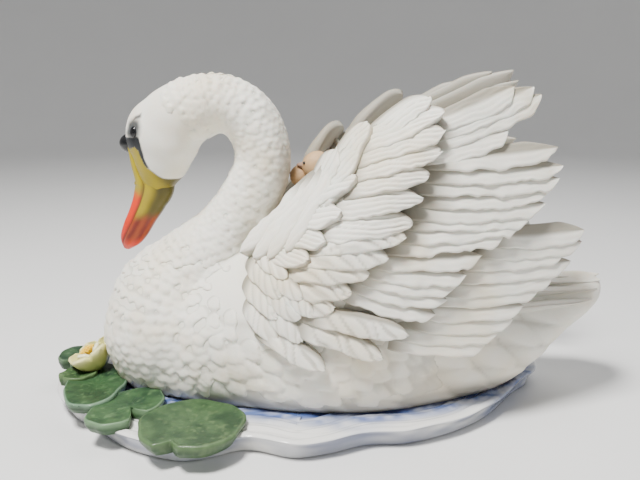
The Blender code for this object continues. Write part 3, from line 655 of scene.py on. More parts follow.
def core_grid(far, last_share, rows, columns, depth, fan_sink=0.0):
    """Points and faces of the web under the feathers, out to this share of its length.

    It lies this deep under the wing's relief, and sinks further towards the fan.
    """
    front = smooth_path(CORE_ROWS[:, 0], rows)
    back = smooth_path(CORE_ROWS[:, 1], rows)
    share = np.linspace(0.0, last_share, columns)[None, :, None]
    flat = front[:, None, :] * (1 - share) + back[:, None, :] * share
    thinning = np.broadcast_to(share[..., 0], flat.shape[:2])
    thickness = CORE_THICKNESS_ROOT + (CORE_THICKNESS_FAN - CORE_THICKNESS_ROOT) * thinning
    sunk = -depth - fan_sink * smooth_step(0.35, 0.65, thinning)
    outer = on_wing(flat[..., 0], flat[..., 1], sunk, far).reshape(-1, 3)
    inner = on_wing(flat[..., 0], flat[..., 1], -CORE_DEPTH - thickness, far).reshape(-1, 3)
    count = rows * columns
    quads = loft_faces(rows, columns, closed=False)
    faces = quads.tolist() + (quads[:, ::-1] + count).tolist()
    edge = list(range(columns)) + [r * columns + columns - 1 for r in range(1, rows)]
    edge += [(rows - 1) * columns + c for c in range(columns - 2, -1, -1)]
    edge += [r * columns for r in range(rows - 2, 0, -1)]
    for a, b in zip(edge, edge[1:] + edge[:1]):
        faces.append([b, a, count + a, count + b])
    return np.vstack([outer, inner]), faces


def tip_width(t, tip_from, roundness):
    """How the width closes to the tip: 1 up to where the tip starts, 0 at its end."""
    past = np.clip((t - tip_from) / (1.0 - tip_from), 0.0, 1.0)
    return np.clip(1.0 - past ** (1.0 + roundness), 0.0, 1.0) ** (1.0 - 0.5 * roundness)


def feather(root, tip, group, far, seed, fine):
    """One carved feather: a flat blade with a wavy lower edge, a free tip and a root tucked in."""
    width, above, lift, thickness, bend, ruffle, tip_below, tip_above = group[:8]
    roundness, crown, covered, groove, spacing, turn = group[8:]
    along_count, across_count, under_count = fine
    dice = np.random.default_rng(seed)
    start, end = np.array(root), np.array(tip)
    along = unit(end - start)
    length = np.linalg.norm(end - start) + TUCKED_LENGTH
    across = np.array((-along[1], along[0]))
    start = start + across * 0.5 * width - along * TUCKED_LENGTH
    t = 1.0 - (1.0 - np.linspace(0.0, 1.0, along_count)) ** 1.25
    q = np.linspace(-1.0, 1.0, across_count)
    grid_t, grid_q = np.meshgrid(t, np.sign(q) * np.abs(q) ** 0.85, indexing="ij")
    under_t, under_q = np.meshgrid(t, np.linspace(0.94, -0.94, under_count), indexing="ij")
    middle = start + (end - start)[None, :] * t[:, None] + across * (bend * 4 * t * (1 - t))[:, None]
    rise = (above + FEATHER_RISE * (t - 1))[:, None]

    def half_width(t, q):
        spread = np.minimum(1.0, (NARROW_ROOT if crown > 1 else BROAD_ROOT) + 0.6 * t)
        return spread * tip_width(t, np.where(q < 0, tip_below, tip_above), roundness) + 0.02

    # Upper side, in plan on the wing's relief and in height over it
    wide = half_width(grid_t, grid_q)
    side = 0.5 * width * wide * grid_q
    place = grid_t * length
    free = smooth_step(0.12, 0.35, grid_t)
    lower = np.clip(-grid_q, 0.0, 1.0) ** 1.2
    wave = value_noise(place / 5.2 + seed * 1.7, seed) + 0.5 * value_noise(place / 2.4 + seed, seed + 50)
    offset = side - ruffle * wave * lower * free * np.minimum(1.0, wide * 1.4)
    ragged = value_noise((grid_q + 1.0) * 2.2 + seed, seed + 21) * ruffle * 1.3
    ragged = ragged * smooth_step(0.72, 1.0, grid_t) * roundness
    flat = middle[:, None, :] + across * offset[..., None] + along * ragged[..., None]
    edge = np.clip((np.abs(grid_q) - 0.84) / 0.16, 0.0, 1.0)
    drift = 0.55 * value_noise(place / 7.0, seed + 9) + dice.uniform()
    phase = (side * math.cos(turn) + place * math.sin(turn)) / spacing + drift
    ridges = np.sin(2 * np.pi * phase) + 0.35 * np.sin(4.7 * np.pi * phase + seed)
    carved = smooth_step(1.0, 0.7, np.abs(grid_q)) * free * smooth_step(1.0, 0.9, grid_t)
    height = rise - ROOT_SINK * (1.0 - grid_t) ** 8 - lift * grid_q * wide
    height = height + crown * (1 - grid_q**2) * wide - 0.6 * edge**2 + groove * ridges * carved
    height = height + 0.5 * ruffle * value_noise(place / 4.4 + seed, seed + 3) * lower * free
    top = on_wing(flat[..., 0], flat[..., 1], height, far)

    # Underside, which thins out to the tip
    offset = 0.5 * width * half_width(under_t, under_q) * under_q
    flat = middle[:, None, :] + across * offset[..., None]
    deep = thickness * (1.0 - FEATHER_THINNING * under_t)
    sunk = np.minimum(0.8 * np.abs(under_q) - 0.4 * lift * under_q - deep, -1.7 - lift * under_q)
    under = on_wing(flat[..., 0], flat[..., 1], rise + sunk, far)

    # Painted shade: darker where the next feather covers this one, on the lower edge's falling rim, at the
    # tucked root, in the grooves' low parts and over the whole underside
    painted_shade = 0.95 * smooth_step(covered - 0.3, covered + 0.3, grid_q) ** 1.4 + 0.4 * edge * (grid_q < 0)
    painted_shade = np.maximum(painted_shade, 1.0 - smooth_step(0.10, 0.36, grid_t))
    painted_shade = np.maximum(painted_shade, np.clip(-groove * ridges, 0.0, 0.35) * 1.6 * free)
    painted_shade = np.concatenate([np.clip(painted_shade, 0.0, 1.0), np.full(under.shape[:2], 0.7)], axis=1)
    tone = np.full(painted_shade.size, dice.uniform(0.0, 1.0))
    return ring_shape(np.concatenate([top, under], axis=1), {"painted_shade": painted_shade.ravel(), "tone": tone})


def make_wing(far):
    """All groups of feathers of one wing, and the web under them."""
    side = "far_wing" if far else "near_wing"
    along_count, across_count, under_count = FAR_DETAIL if far else NEAR_DETAIL
    pieces = []
    for number, (name, near_feathers, far_feathers, *group) in enumerate(WING_GROUPS):
        finer = FINER_BY if name in FINER_GROUPS and not far else 0
        shapes = []
        for place, (root, tip) in enumerate(far_feathers if far else near_feathers):
            seed = 100 * number + place + (5000 if far else 0)
            fine = (along_count, across_count + finer, under_count)
            shapes.append(feather(root, tip, group, far, seed, fine))
        pieces.append(join_meshes(f"{side}_{name}", shapes))
    points, faces = core_grid(far, 1.0, CORE_GRID, CORE_GRID, CORE_DEPTH, FAN_SINK)
    shade = np.full(len(points), WEB_SHADE)
    pieces.append(join_meshes(f"{side}_web", [(points, faces, {"painted_shade": shade, "tone": shade})]))
    return pieces


def make_tail():
    """Short broad feathers over the wedge of the tail, the middle one on top."""
    shapes = []
    for number, (start, end) in enumerate(TAIL_FEATHERS):
        for sign in (-1.0, 1.0) if number else (1.0,):
            seed = 900 + 2 * number + (sign > 0)
            t, q = np.meshgrid(np.linspace(0, 1, 34), np.linspace(-1, 1, 15), indexing="ij")
            wide = tip_width(t, 0.72, 0.9) + 0.03
            start_point = np.array(start) * (1.0, sign, 1.0)
            end_point = np.array(end) * (1.0, sign, 1.0)
            spine = start_point + (end_point - start_point) * t[..., None]
            wave = 0.35 * value_noise(t * 9.0 + seed, seed) * np.abs(q) * smooth_step(0.1, 0.4, t)
            top = spine.copy()
            top[..., 1] += 0.5 * TAIL_FEATHER_WIDTH * wide * q + wave
            top[..., 2] += 0.5 * wide * (1.0 - q**2) - 0.45 * np.abs(q) ** 3
            top[..., 2] += 0.07 * np.sin(2 * np.pi * (q * 1.9 + 0.4 * value_noise(t * 5.0, seed + 1)))
            under = spine[:, 1:-1][:, ::-1].copy()
            under_q = -q[:, 1:-1]
            under[..., 1] += 0.5 * TAIL_FEATHER_WIDTH * wide[:, 1:-1] * under_q * 0.9
            deep = TAIL_FEATHER_THICKNESS * wide[:, 1:-1] * (1 - 0.6 * t[:, 1:-1])
            under[..., 2] -= deep * (1.0 - 0.8 * under_q**2)
            # Painted shade along the feathers' side edges and over their undersides
            painted_shade = np.concatenate([0.5 * np.abs(q) ** 4, np.full(under.shape[:2], 0.5)], axis=1)
            shades = {"painted_shade": painted_shade.ravel(), "tone": np.full(painted_shade.size, 0.3 + 0.1 * number)}
            shapes.append(ring_shape(np.concatenate([top, under], axis=1), shades))
    return join_meshes("tail_feathers", shapes)


# Breast, neck, head and body as one soft shape
def neighbour_mean(points, edges, counts):
    """The middle of each point's neighbours."""
    total = np.zeros_like(points)
    np.add.at(total, edges[:, 0], points[edges[:, 1]])
    np.add.at(total, edges[:, 1], points[edges[:, 0]])
    return total / counts[:, None]


def edges_of(piece):
    """The piece's edges, and how many neighbours each point has."""
    edges = np.empty(len(piece.data.edges) * 2, np.int64)
    piece.data.edges.foreach_get("vertices", edges)
    edges = edges.reshape(-1, 2)
    counts = np.bincount(edges.ravel(), minlength=len(piece.data.vertices)).astype(float)
    return edges, np.maximum(counts, 1.0)


def soften(piece, times):
    """Moves each point halfway to the middle of its neighbours, this many times."""
    edges, counts = edges_of(piece)
    points = points_of(piece)
    for _ in range(times):
        points = points + 0.5 * (neighbour_mean(points, edges, counts) - points)
    move_points(piece, points)


def voxel_remesh(piece, size):
    modifier = piece.modifiers.new("even_skin", "REMESH")
    modifier.mode = "VOXEL"
    modifier.voxel_size = size * MM
    graph = bpy.context.evaluated_depsgraph_get()
    skin = bpy.data.meshes.new_from_object(piece.evaluated_get(graph))
    piece.modifiers.clear()
    piece.data = skin
    skin.shade_smooth()


def refine_face(piece):
    """Halves the skin's cells over the front of the head, where fine paint lies."""
    shape = bmesh.new()
    shape.from_mesh(piece.data)
    chosen = []
    for edge in shape.edges:
        x, _, z = (edge.verts[0].co + edge.verts[1].co) * 0.5 / MM
        if z > FACE_ABOVE and x + MIDDLE_X < FACE_BEFORE:
            chosen.append(edge)
    bmesh.ops.subdivide_edges(shape, edges=chosen, cuts=1, use_grid_fill=True)
    shape.to_mesh(piece.data)
    shape.free()
    piece.data.shade_smooth()


def flank_relief(points):
    """Long soft lumps that sweep back along the body's side."""
    best = np.zeros(len(points))
    jitter = np.random.default_rng(3).uniform(-1.0, 1.0, 4096)
    for shift, length, height in FLANK_LUMPS:
        row = points[:, 2] / height + shift + 0.12 * np.sin(points[:, 0] / 14.0) + points[:, 0] * 0.011
        cell_row = np.floor(row)
        v = (row - cell_row - 0.5) * 2
        place = points[:, 0] / length + 0.5 * np.mod(cell_row, 2) + shift * 0.7 + 0.25 * v
        cell = np.floor(place)
        key = (cell.astype(int) * 31 + cell_row.astype(int) * 57 + int(shift * 900)) % 4096
        u = place - cell
        shape = (0.35 + 0.65 * u) * np.clip((1.0 - u) * 5, 0, 1) * np.clip(1.0 - v**2, 0, 1) ** 0.8
        best = np.maximum(best, shape * (0.8 + 0.25 * jitter[key]))
    return best


def inside_share(flat, outline, soft):
    """1 inside an outline and 0 outside it, with an edge this soft."""
    nearest = np.full(len(flat), 1e9)
    inside = np.zeros(len(flat), bool)
    for a, b in zip(outline, np.roll(outline, -1, 0)):
        edge = b - a
        share = np.clip(((flat - a) @ edge) / (edge @ edge), 0.0, 1.0)
        nearest = np.minimum(nearest, np.linalg.norm(flat - a - share[:, None] * edge, axis=1))
        rise = edge[1] if abs(edge[1]) > 1e-9 else 1e-9
        at = a[0] + (flat[:, 1] - a[1]) / rise * edge[0]
        inside ^= ((a[1] > flat[:, 1]) != (b[1] > flat[:, 1])) & (flat[:, 0] < at)
    return smooth_step(-soft, soft, np.where(inside, nearest, -nearest))


def paint_face(trunk):
    """Grey round the eyes, black to the bill's root and down to the mouth, yellow cheek corners."""
    points = points_of(trunk)
    before = before_turn(points)
    uneven = np.stack([field_noise(points, 2.5, 31), field_noise(points, 2.5, 32)], 1)
    flat = before[:, (0, 2)] + 0.25 * uneven
    on_head = smooth_step(-56.0, -60.0, points[:, 0]) * (points[:, 2] > HEAD_LOWEST)
    grey, dark, yellow, olive, black = [
        srgb(*colour) for colour in ((50, 54, 59), (40, 42, 46), (164, 146, 10), (82, 74, 12), (26, 28, 32))
    ]
    brow = inside_share(flat, BROW, 0.8) * 0.9
    colours = blend(np.tile(grey, (len(points), 1)), dark, brow)
    mask = np.maximum(inside_share(flat, EYE_PATCH, 1.9) * 0.93, brow) * on_head
    corner = blend(yellow, olive, smooth_step(-72.0, -65.5, before[:, 0]))
    for outline, colour in ((YELLOW_FACE, corner), (BLACK_FACE, black)):
        share = inside_share(flat, outline, 0.35) * on_head
        colours = blend(colours, colour, share)
        mask = np.maximum(mask, share)
    set_paint(trunk, colours)
    set_values(trunk, "painted", mask)


def make_trunk():
    """Neck, breast, head, body and the roots of the wings under one even, softened skin."""
    neck = smooth_path(NECK_STATIONS, NECK_RINGS)
    share = share_of_turn(neck[:, 0], neck[:, 1])
    neck = turned(swept_rings(neck, NECK_SIDES), share[:, None])
    shapes = [ring_shape(neck), ring_shape(body_rings(BODY_RINGS, BODY_SIDES))]
    points, faces, _ = ball(CROWN_CENTRE, CROWN_RADII, 48, 32)
    shapes.append((turned(points, 1.0), faces, {}))
    for far in (False, True):
        points, faces = core_grid(far, ROOT_SHARE, *ROOT_GRID, CORE_DEPTH - ROOT_RISE)
        shapes.append((points, faces, {}))
    trunk = join_meshes("breast_neck_and_body", shapes)
    voxel_remesh(trunk, TRUNK_VOXEL)
    soften(trunk, 10)
    refine_face(trunk)
    soften(trunk, 3)
    points = points_of(trunk)
    flank = flank_relief(points)
    on_flank = smooth_step(-58.0, -36.0, points[:, 0]) * smooth_step(116.0, 100.0, points[:, 0])
    on_flank = on_flank * smooth_step(60.0, 42.0, points[:, 2])
    push = on_flank * 1.1 * (flank - 0.5) + 0.14 * field_noise(points, 7.0, 11)
    push = push * smooth_step(6.0, 14.0, points[:, 2])
    move_points(trunk, points + normals_of(trunk) * push[:, None])
    # Painted shade: darker in the dips between the flank's lumps and low on the body where it meets the
    # water
    painted_shade = on_flank * np.clip(0.5 - flank, 0, 1) * 1.3
    at_water = smooth_step(20.0, 12.0, points[:, 2]) * smooth_step(1.5, 0.5, flank + 0.4)
    painted_shade = np.maximum(painted_shade, 0.75 * at_water)
    set_values(trunk, "painted_shade", np.clip(painted_shade, 0.0, 1.0))
    set_values(trunk, "tone", 0.5 + 0.5 * field_noise(points, 30.0, 5))
    paint_face(trunk)
    return trunk


def skin_tree(piece):
    points = [Vector(point) for point in points_of(piece)]
    return BVHTree.FromPolygons(points, [list(face.vertices) for face in piece.data.polygons])


def petal_grid(along_count, across_count):
    """A petal's grid: shares along and across, the loop round its edge, and the faces of both sides."""
    shares = np.linspace(0, 1, along_count) ** 0.85
    along, across = np.meshgrid(shares, np.linspace(-1, 1, across_count), indexing="ij")
    index = np.arange(along.size).reshape(along.shape)
    edge = np.concatenate([index[0], index[1:, -1], index[-1, -2::-1], index[-2:0:-1, 0]])
    faces = loft_faces(along_count, across_count, closed=False).tolist()
    count = along.size
    for n in range(len(edge)):
        after = (n + 1) % len(edge)
        faces.append([int(edge[after]), int(edge[n]), count + n, count + after])
    faces.append(list(range(count, count + len(edge))))
    return along, across, edge, faces


def petal(tree, grid, place, normal, ahead, sizes, shade):
    """A small rounded feather lying on the skin, its free end raised."""
    along, across, edge, faces = grid
    half_width, length, lift, groove = sizes
    side = np.cross(normal, ahead)
    u = along * (1.0 - 0.42 * across**2 * along**2)
    wide = np.interp(along, *PETAL_WIDTHS)
    flat = place + ahead * ((u - 0.72) * length)[..., None] + side * (across * wide * half_width)[..., None]
    rise = np.interp(along, *PETAL_RISES) * lift
    rise = rise * (1.0 - 0.45 * across**4) + 0.22 * lift * (1.0 - across**2)
    phase = 2 * np.pi * (0.8 * across * half_width + 0.45 * u * length) / 2.3
    rise = rise + groove * np.sin(phase + 7.0 * shade) * (1.0 - across**4) * along
    near, out = [], []
    for point in flat.reshape(-1, 3):
        location, direction, _, _ = tree.find_nearest(Vector(point))
        near.append(location)
        out.append(direction)
    near, out = np.array(near), np.array(out)
    skirt = near[edge] - out[edge] * 0.7
    # Painted shade at the root, where the row above covers it, and on the skirt
    painted_shade = np.clip(0.55 - 1.2 * along, 0.0, 1.0).ravel()
    painted_shade = np.concatenate([painted_shade, np.full(len(edge), 0.6)])
    points = np.vstack([near + out * rise.reshape(-1, 1), skirt])
    return points, faces, {"painted_shade": painted_shade, "tone": np.full(len(painted_shade), shade)}


def make_scales(trunk):
    """Rows of small overlapping scales from behind the crown down the neck and over the breast."""
    tree = skin_tree(trunk)
    path = smooth_path(NECK_STATIONS, 500)[::-1]
    share = share_of_turn(path[:, 0], path[:, 1])
    line = turned(np.stack([path[:, 0], 0.0 * path[:, 0], path[:, 1]], 1), share)
    down = np.concatenate([[0.0], np.cumsum(np.linalg.norm(np.diff(line, axis=0), axis=1))])

    def along_line(values, place):
        return np.array([np.interp(place, down, values[:, k]) for k in range(values.shape[1])])

    def past_breast(x, z):
        return x + 38.0 - 0.9 * max(0.0, z - 68.0)

    def bare(x, y, z):
        """Whether a point lies in the water, past the breast's edge or on the smooth crown."""
        if z < 10.5 or past_breast(x, z) > 0.0:
            return True
        start = np.interp(z, *CROWN_SCALES_START)
        return z > HEAD_LOWEST and before_turn(np.array([(x, y, z)]))[0, 0] < start

    dice = np.random.default_rng(8)
    grid = petal_grid(5, 5)
    shapes = {"neck_scales": [], "breast_scales": []}
    place, row = SCALES_START, 0
    while place < down[-1] - SCALES_STOP:
        row += 1
        centre = along_line(line, place)
        ahead = unit(along_line(line, place + 1.0) - along_line(line, place - 1.0))
        deep, wide = along_line(path[:, 2:], place)
        turn = HEAD_TURN * np.interp(place, down, share)
        side = np.array((math.sin(turn), math.cos(turn), 0.0))
        side = unit(side - ahead * (side @ ahead))
        front = np.cross(ahead, side)
        stage = smooth_step(16.0, 32.0, deep) if place > 70.0 else 0.0
        width, length, lift, step = [
            size + gain * stage for size, gain in (SCALE_WIDTH, SCALE_LENGTH, SCALE_LIFT, SCALE_STEP)
        ]
        lift = lift * (0.3 + 0.7 * smooth_step(14.0, 34.0, place))
        columns = int(round(math.pi * (deep + wide) / width))
        for column in range(columns):
            angle = 2 * math.pi * (column + 0.5 * (row % 2) + dice.uniform(-0.2, 0.2)) / columns
            direction = front * math.cos(angle) + side * math.sin(angle)
            origin = centre + ahead * dice.uniform(-0.6, 0.6)
            size, height = dice.uniform(0.86, 1.18), dice.uniform(0.6, 1.2)
            tilt, shade = dice.uniform(-0.3, 0.3), dice.uniform(0.1, 0.9)
            location, normal, _, distance = tree.ray_cast(Vector(origin), Vector(direction), 70.0)
            reach = (1.3 + 0.4 * stage) * math.hypot(deep * math.cos(angle), wide * math.sin(angle))
            if location is None or distance > reach or bare(*location):
                continue
            x, _, z = location
            normal = np.array(normal)
            forward = unit(ahead - normal * (ahead @ normal))
            forward = unit(forward + np.cross(normal, forward) * tilt)
            faint = 1.0 - 0.6 * smooth_step(0.25, 0.8, normal[0]) * (z > 88.0)
            faint = faint * (1.0 - 0.6 * smooth_step(-9.0, -1.0, past_breast(x, z)))
            sizes = 0.6 * width * size, length * size, lift * height * faint, 0.0
            name = "breast_scales" if z < BREAST_BELOW else "neck_scales"
            shapes[name].append(petal(tree, grid, np.array(location), normal, forward, sizes, shade))
        place += step
    return [
        fused_petals("neck_scales", shapes["neck_scales"], tree, 0),
        fused_petals("breast_scales", shapes["breast_scales"], tree, 1),
    ]


def fused_petals(name, parts, tree, times):
    """The petals as one soft skin, with painted shade where it dips between them."""
    piece = join_meshes(name, parts)
    voxel_remesh(piece, PETAL_VOXEL)
    soften(piece, times)
    points = points_of(piece)
    height = []
    for point in points:
        location, normal, _, _ = tree.find_nearest(Vector(point))
        height.append((Vector(point) - location).dot(normal))
    height = np.array(height)
    off_crown = smooth_step(-60.0, -48.0, points[:, 0] + 40.0 * (points[:, 2] < 95.0))
    # Painted shade where the skin lies low between the petals, none on the front of the head
    set_values(piece, "painted_shade", 0.5 * smooth_step(0.42, 0.0, height) * off_crown)
    set_values(piece, "tone", 0.5 + 0.5 * field_noise(points, 9.0, 6))
    return piece


def make_flank_feathers(trunk):
    """Big soft feathers that sweep back and down from the breast along the body's side."""
    tree = skin_tree(trunk)
    grid = petal_grid(10, 9)
    dice = np.random.default_rng(12)
    back, drop = FLANK_SWEEP
    shapes = []
    for sign in (-1.0, 1.0):
        for row, column in itertools.product(range(-9, 10), range(-6, 16)):
            step = FLANK_STEP * column + 4.7 * (row % 2) + dice.uniform(-1.6, 1.6)
            over = FLANK_ROW_STEP * row + dice.uniform(-1.0, 1.0)
            shade, size, tilt = dice.uniform(0.1, 0.9), dice.uniform(0.88, 1.15), dice.uniform(-0.2, 0.2)
            x = FLANK_START[0] + back * step - drop * over
            z = FLANK_START[1] + drop * step + back * over
            if x < -48.0 or x > 50.0 or z < 15.0 or z > (56.0 if x < -33.0 else 37.0):
                continue
            location, normal, _, _ = tree.ray_cast(Vector((x, 0.0, z)), Vector((0.0, sign, 0.0)), 80.0)
            if location is None:
                continue
            normal = np.array(normal)
            ahead = np.array((back, 0.0, drop - 0.5 * smooth_step(-28.0, -42.0, x) + tilt))
            ahead = unit(ahead - normal * (ahead @ normal))
            fade = 1.0 - 0.85 * smooth_step(-5.0, 45.0, x)
            size = size * (1.0 - 0.28 * smooth_step(-30.0, -40.0, x))
            lift = FLANK_LIFT * size * fade * (0.55 + 0.45 * smooth_step(15.0, 24.0, z))
            sizes = FLANK_HALF_WIDTH * size, FLANK_LENGTH * size, lift, FLANK_GROOVE * fade
            shapes.append(petal(tree, grid, np.array(location), normal, ahead, sizes, shade))
    return fused_petals("flank_feathers", shapes, tree, 1)


# Materials
def srgb(red, green, blue):
    """Linear colour of an sRGB one given in 0 to 255."""
    parts = [v / 255.0 for v in (red, green, blue)]
    return tuple(v / 12.92 if v <= 0.04045 else ((v + 0.055) / 1.055) ** 2.4 for v in parts)


class Nodes:
    """Short names for building one material's nodes."""

    def __init__(self, name):
        self.material = bpy.data.materials.new(name)
        self.material.use_nodes = True
        self.tree = self.material.node_tree
        self.shader = self.tree.nodes["Principled BSDF"]

    def add(self, kind, **settings):
        node = self.tree.nodes.new(kind)
        for key, value in settings.items():
            setattr(node, key, value)
        return node

    def link(self, source, target):
        self.tree.links.new(source, target)

    def noise(self, scale, detail=4.0, roughness=0.55):
        node = self.add("ShaderNodeTexNoise")
        node.inputs["Scale"].default_value = scale
        node.inputs["Detail"].default_value = detail
        node.inputs["Roughness"].default_value = roughness
        self.link(self.add("ShaderNodeTexCoord").outputs["Object"], node.inputs["Vector"])
        return node.outputs["Fac"]

    def attribute(self, name, output="Fac"):
        return self.add("ShaderNodeAttribute", attribute_name=name).outputs[output]

    def ramp(self, source, low, high, low_value=(0, 0, 0), high_value=(1, 1, 1)):
        node = self.add("ShaderNodeValToRGB")
        node.color_ramp.elements[0].position = low
        node.color_ramp.elements[1].position = high
        node.color_ramp.elements[0].color = (*low_value, 1.0)
        node.color_ramp.elements[1].color = (*high_value, 1.0)
        self.link(source, node.inputs["Fac"])
        return node.outputs["Color"]

    def mix(self, share, first, second, mode="MIX"):
        node = self.add("ShaderNodeMix", data_type="RGBA", blend_type=mode)
        for socket, value in ((node.inputs[0], share), (node.inputs[6], first), (node.inputs[7], second)):
            if isinstance(value, (int, float)):
                socket.default_value = value
            elif isinstance(value, tuple):
                socket.default_value = (*value, 1.0)
            else:
                self.link(value, socket)
        return node.outputs[2]

    def bump(self, height, strength, distance):
        node = self.add("ShaderNodeBump")
        node.inputs["Strength"].default_value = strength
        node.inputs["Distance"].default_value = distance
        self.link(height, node.inputs["Height"])
        self.link(node.outputs["Normal"], self.shader.inputs["Normal"])


def bisque_material():
    """Unglazed porcelain, uneven from feather to feather, with painted shade in hollows and the painted
    face.
    """
    nodes = Nodes("bisque_porcelain")
    light, dull = srgb(240, 237, 227), srgb(231, 228, 217)
    stain, shade = srgb(224, 210, 180), srgb(122, 115, 98)
    clay = nodes.mix(nodes.ramp(nodes.attribute("tone"), 0.0, 1.0), light, dull)
    warm = nodes.mix(nodes.ramp(nodes.noise(28.0, 3.0), 0.48, 0.8), clay, stain)
    # Painted shade: a grey-brown laid over the clay wherever the attribute marks hollows, creases and tucked
    # parts
    painted_shade = nodes.ramp(nodes.attribute("painted_shade"), 0.10, 1.0, (0, 0, 0), (0.85, 0.85, 0.85))
    grey = nodes.mix(painted_shade, warm, shade)
    colour = nodes.mix(nodes.attribute("painted"), grey, nodes.attribute("paint", "Color"))
    nodes.link(colour, nodes.shader.inputs["Base Color"])
    rough = nodes.ramp(nodes.noise(90.0, 3.0), 0.3, 0.7, (0.5,) * 3, (0.66,) * 3)
    nodes.link(nodes.mix(nodes.attribute("painted"), rough, (0.38,) * 3), nodes.shader.inputs["Roughness"])
    nodes.shader.inputs["Subsurface Weight"].default_value = 0.10
    nodes.shader.inputs["Subsurface Scale"].default_value = 0.002
    nodes.shader.inputs["Specular IOR Level"].default_value = 0.35
    nodes.bump(nodes.noise(900.0, 4.0, 0.6), 0.20, 0.0004)
    return nodes.material


def painted_material(name, roughness, bump_scale, bump_strength, mottle=0.0, coat=0.0):
    """Paint whose colour is laid at each point, with brush mottling and a little relief."""
    nodes = Nodes(name)
    colour = nodes.attribute("paint", "Color")
    if mottle:
        shade = nodes.ramp(nodes.noise(260.0, 5.0, 0.65), 0.3, 0.7, (1 - mottle,) * 3, (1 + mottle,) * 3)
        colour = nodes.mix(1.0, colour, shade, "MULTIPLY")
    nodes.link(colour, nodes.shader.inputs["Base Color"])
    spread = nodes.ramp(nodes.noise(150.0), 0.3, 0.7, (roughness * 0.85,) * 3, (roughness * 1.15,) * 3)
    nodes.link(spread, nodes.shader.inputs["Roughness"])
    nodes.shader.inputs["Specular IOR Level"].default_value = 0.35
    nodes.shader.inputs["Coat Weight"].default_value = coat
    nodes.shader.inputs["Coat Roughness"].default_value = 0.12
    nodes.bump(nodes.noise(bump_scale, 4.0), bump_strength, 0.0005)
    return nodes.material


def finish_piece(piece, material):
    piece.data.materials.clear()
    piece.data.materials.append(material)
    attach(piece, BODY)


def blend(first, second, share):
    """Colours between two, each a colour or a list of colours, by a share at each point."""
    return np.asarray(first) * (1 - share[:, None]) + np.asarray(second) * share[:, None]


# Bill, knob and eyes
def make_bill():
    """The bill with its mouth line, grooves and ridge, yellow at the root and red at the tip."""
    rings = swept_rings(smooth_path(BILL_STATIONS, BILL_RINGS), BILL_SIDES)
    count, sides = rings.shape[:2]
    from_front = np.tile(np.abs(2 * np.pi * (np.arange(sides) + 0.5) / sides - np.pi), count)
    points = rings.reshape(-1, 3).copy()
    z = points[:, 2]
    middle = np.repeat(rings.mean(1), sides, axis=0)
    in_reach = smooth_step(110.0, 106.0, z) * smooth_step(68.0, 73.0, z)
    mouth = np.exp(-(((from_front - MOUTH_ANGLE) / MOUTH_WIDTH) ** 2)) * in_reach
    above_tip = smooth_step(72.0, 80.0, z)
    groove = np.exp(-(((from_front - GROOVE_ANGLE) / GROOVE_WIDTH) ** 2)) * above_tip
    groove = groove * smooth_step(106.0, 100.0, z)
    ridge = np.exp(-((from_front / RIDGE_WIDTH) ** 2)) * above_tip
    points = points + (middle - points) * (0.11 * mouth + 0.05 * groove - 0.04 * ridge)[:, None]
    yellow, orange, red = srgb(164, 146, 10), srgb(222, 50, 2), srgb(170, 14, 0)
    olive, brown, stripe = srgb(82, 74, 12), srgb(112, 26, 10), srgb(176, 76, 24)
    noise = field_noise(points, 3.0, 21)
    top = blend(yellow, orange, smooth_step(98.5, 92.5, z + 1.2 * noise))
    top = blend(top, red, 0.65 * smooth_step(84.0, 72.0, z + noise))
    top = blend(top, olive, 0.35 * ridge * smooth_step(96.0, 102.0, z))
    under = blend(yellow, olive, smooth_step(1.9, 2.4, from_front))
    lined = blend(brown, stripe, 0.35 + 0.35 * np.sin(9 * from_front + 0.5 * noise))
    under = blend(under, lined, smooth_step(88.0, 82.0, z))
    under = blend(under, orange, 0.8 * smooth_step(75.0, 70.0, z))
    colours = blend(top, under, smooth_step(MOUTH_ANGLE - 0.03, MOUTH_ANGLE + 0.03, from_front))
    mouth_brown, black = srgb(64, 36, 26), srgb(30, 32, 36)
    colours = blend(colours, mouth_brown, 0.8 * mouth)
    colours = blend(colours, black, smooth_step(116.2, 117.4, z + 0.4 * noise))
    piece = join_meshes("bill", [ring_shape(turned(points, 1.0).reshape(rings.shape))])
    set_paint(piece, colours)
    return piece


def make_eyes(tree):
    """Glossy flattened balls set in both sides of the head."""
    shapes = []
    for sign in (-1.0, 1.0):
        inside = turned(np.array((EYE[0], 0.0, EYE[1])), 1.0)
        outward = turned(np.array((EYE[0], sign, EYE[1])), 1.0) - inside
        location, normal, _, _ = tree.ray_cast(Vector(inside), Vector(outward), 40.0)
        up = unit(np.array((0.0, 0.0, 1.0)) - np.array(normal) * normal[2])
        along = np.cross(up, np.array(normal))
        points, faces, _ = ball((0.0, 0.0, 0.0), EYE_RADII)
        placed = points[:, :1] * along + points[:, 1:2] * np.array(normal) + points[:, 2:] * up
        shapes.append((placed + np.array(location) + 0.1 * np.array(normal), faces, {}))
    return plain_piece("eyes", shapes, srgb(16, 16, 18))


def plain_piece(name, shapes, colour):
    """One object of closed shapes in one colour of paint."""
    piece = join_meshes(name, shapes)
    set_paint(piece, np.tile(colour, (len(piece.data.vertices), 1)))
    return piece


# Water plate
def rim_outline(inset, count):
    """The plate's wavy rim, drawn in by this much."""
    outline = closed_outline(RIM_POINTS, count)
    along = np.roll(outline, -1, 0) - np.roll(outline, 1, 0)
    along /= np.linalg.norm(along, axis=1)[:, None]
    return outline + np.stack([-along[:, 1], along[:, 0]], 1) * np.reshape(inset, (-1, 1))


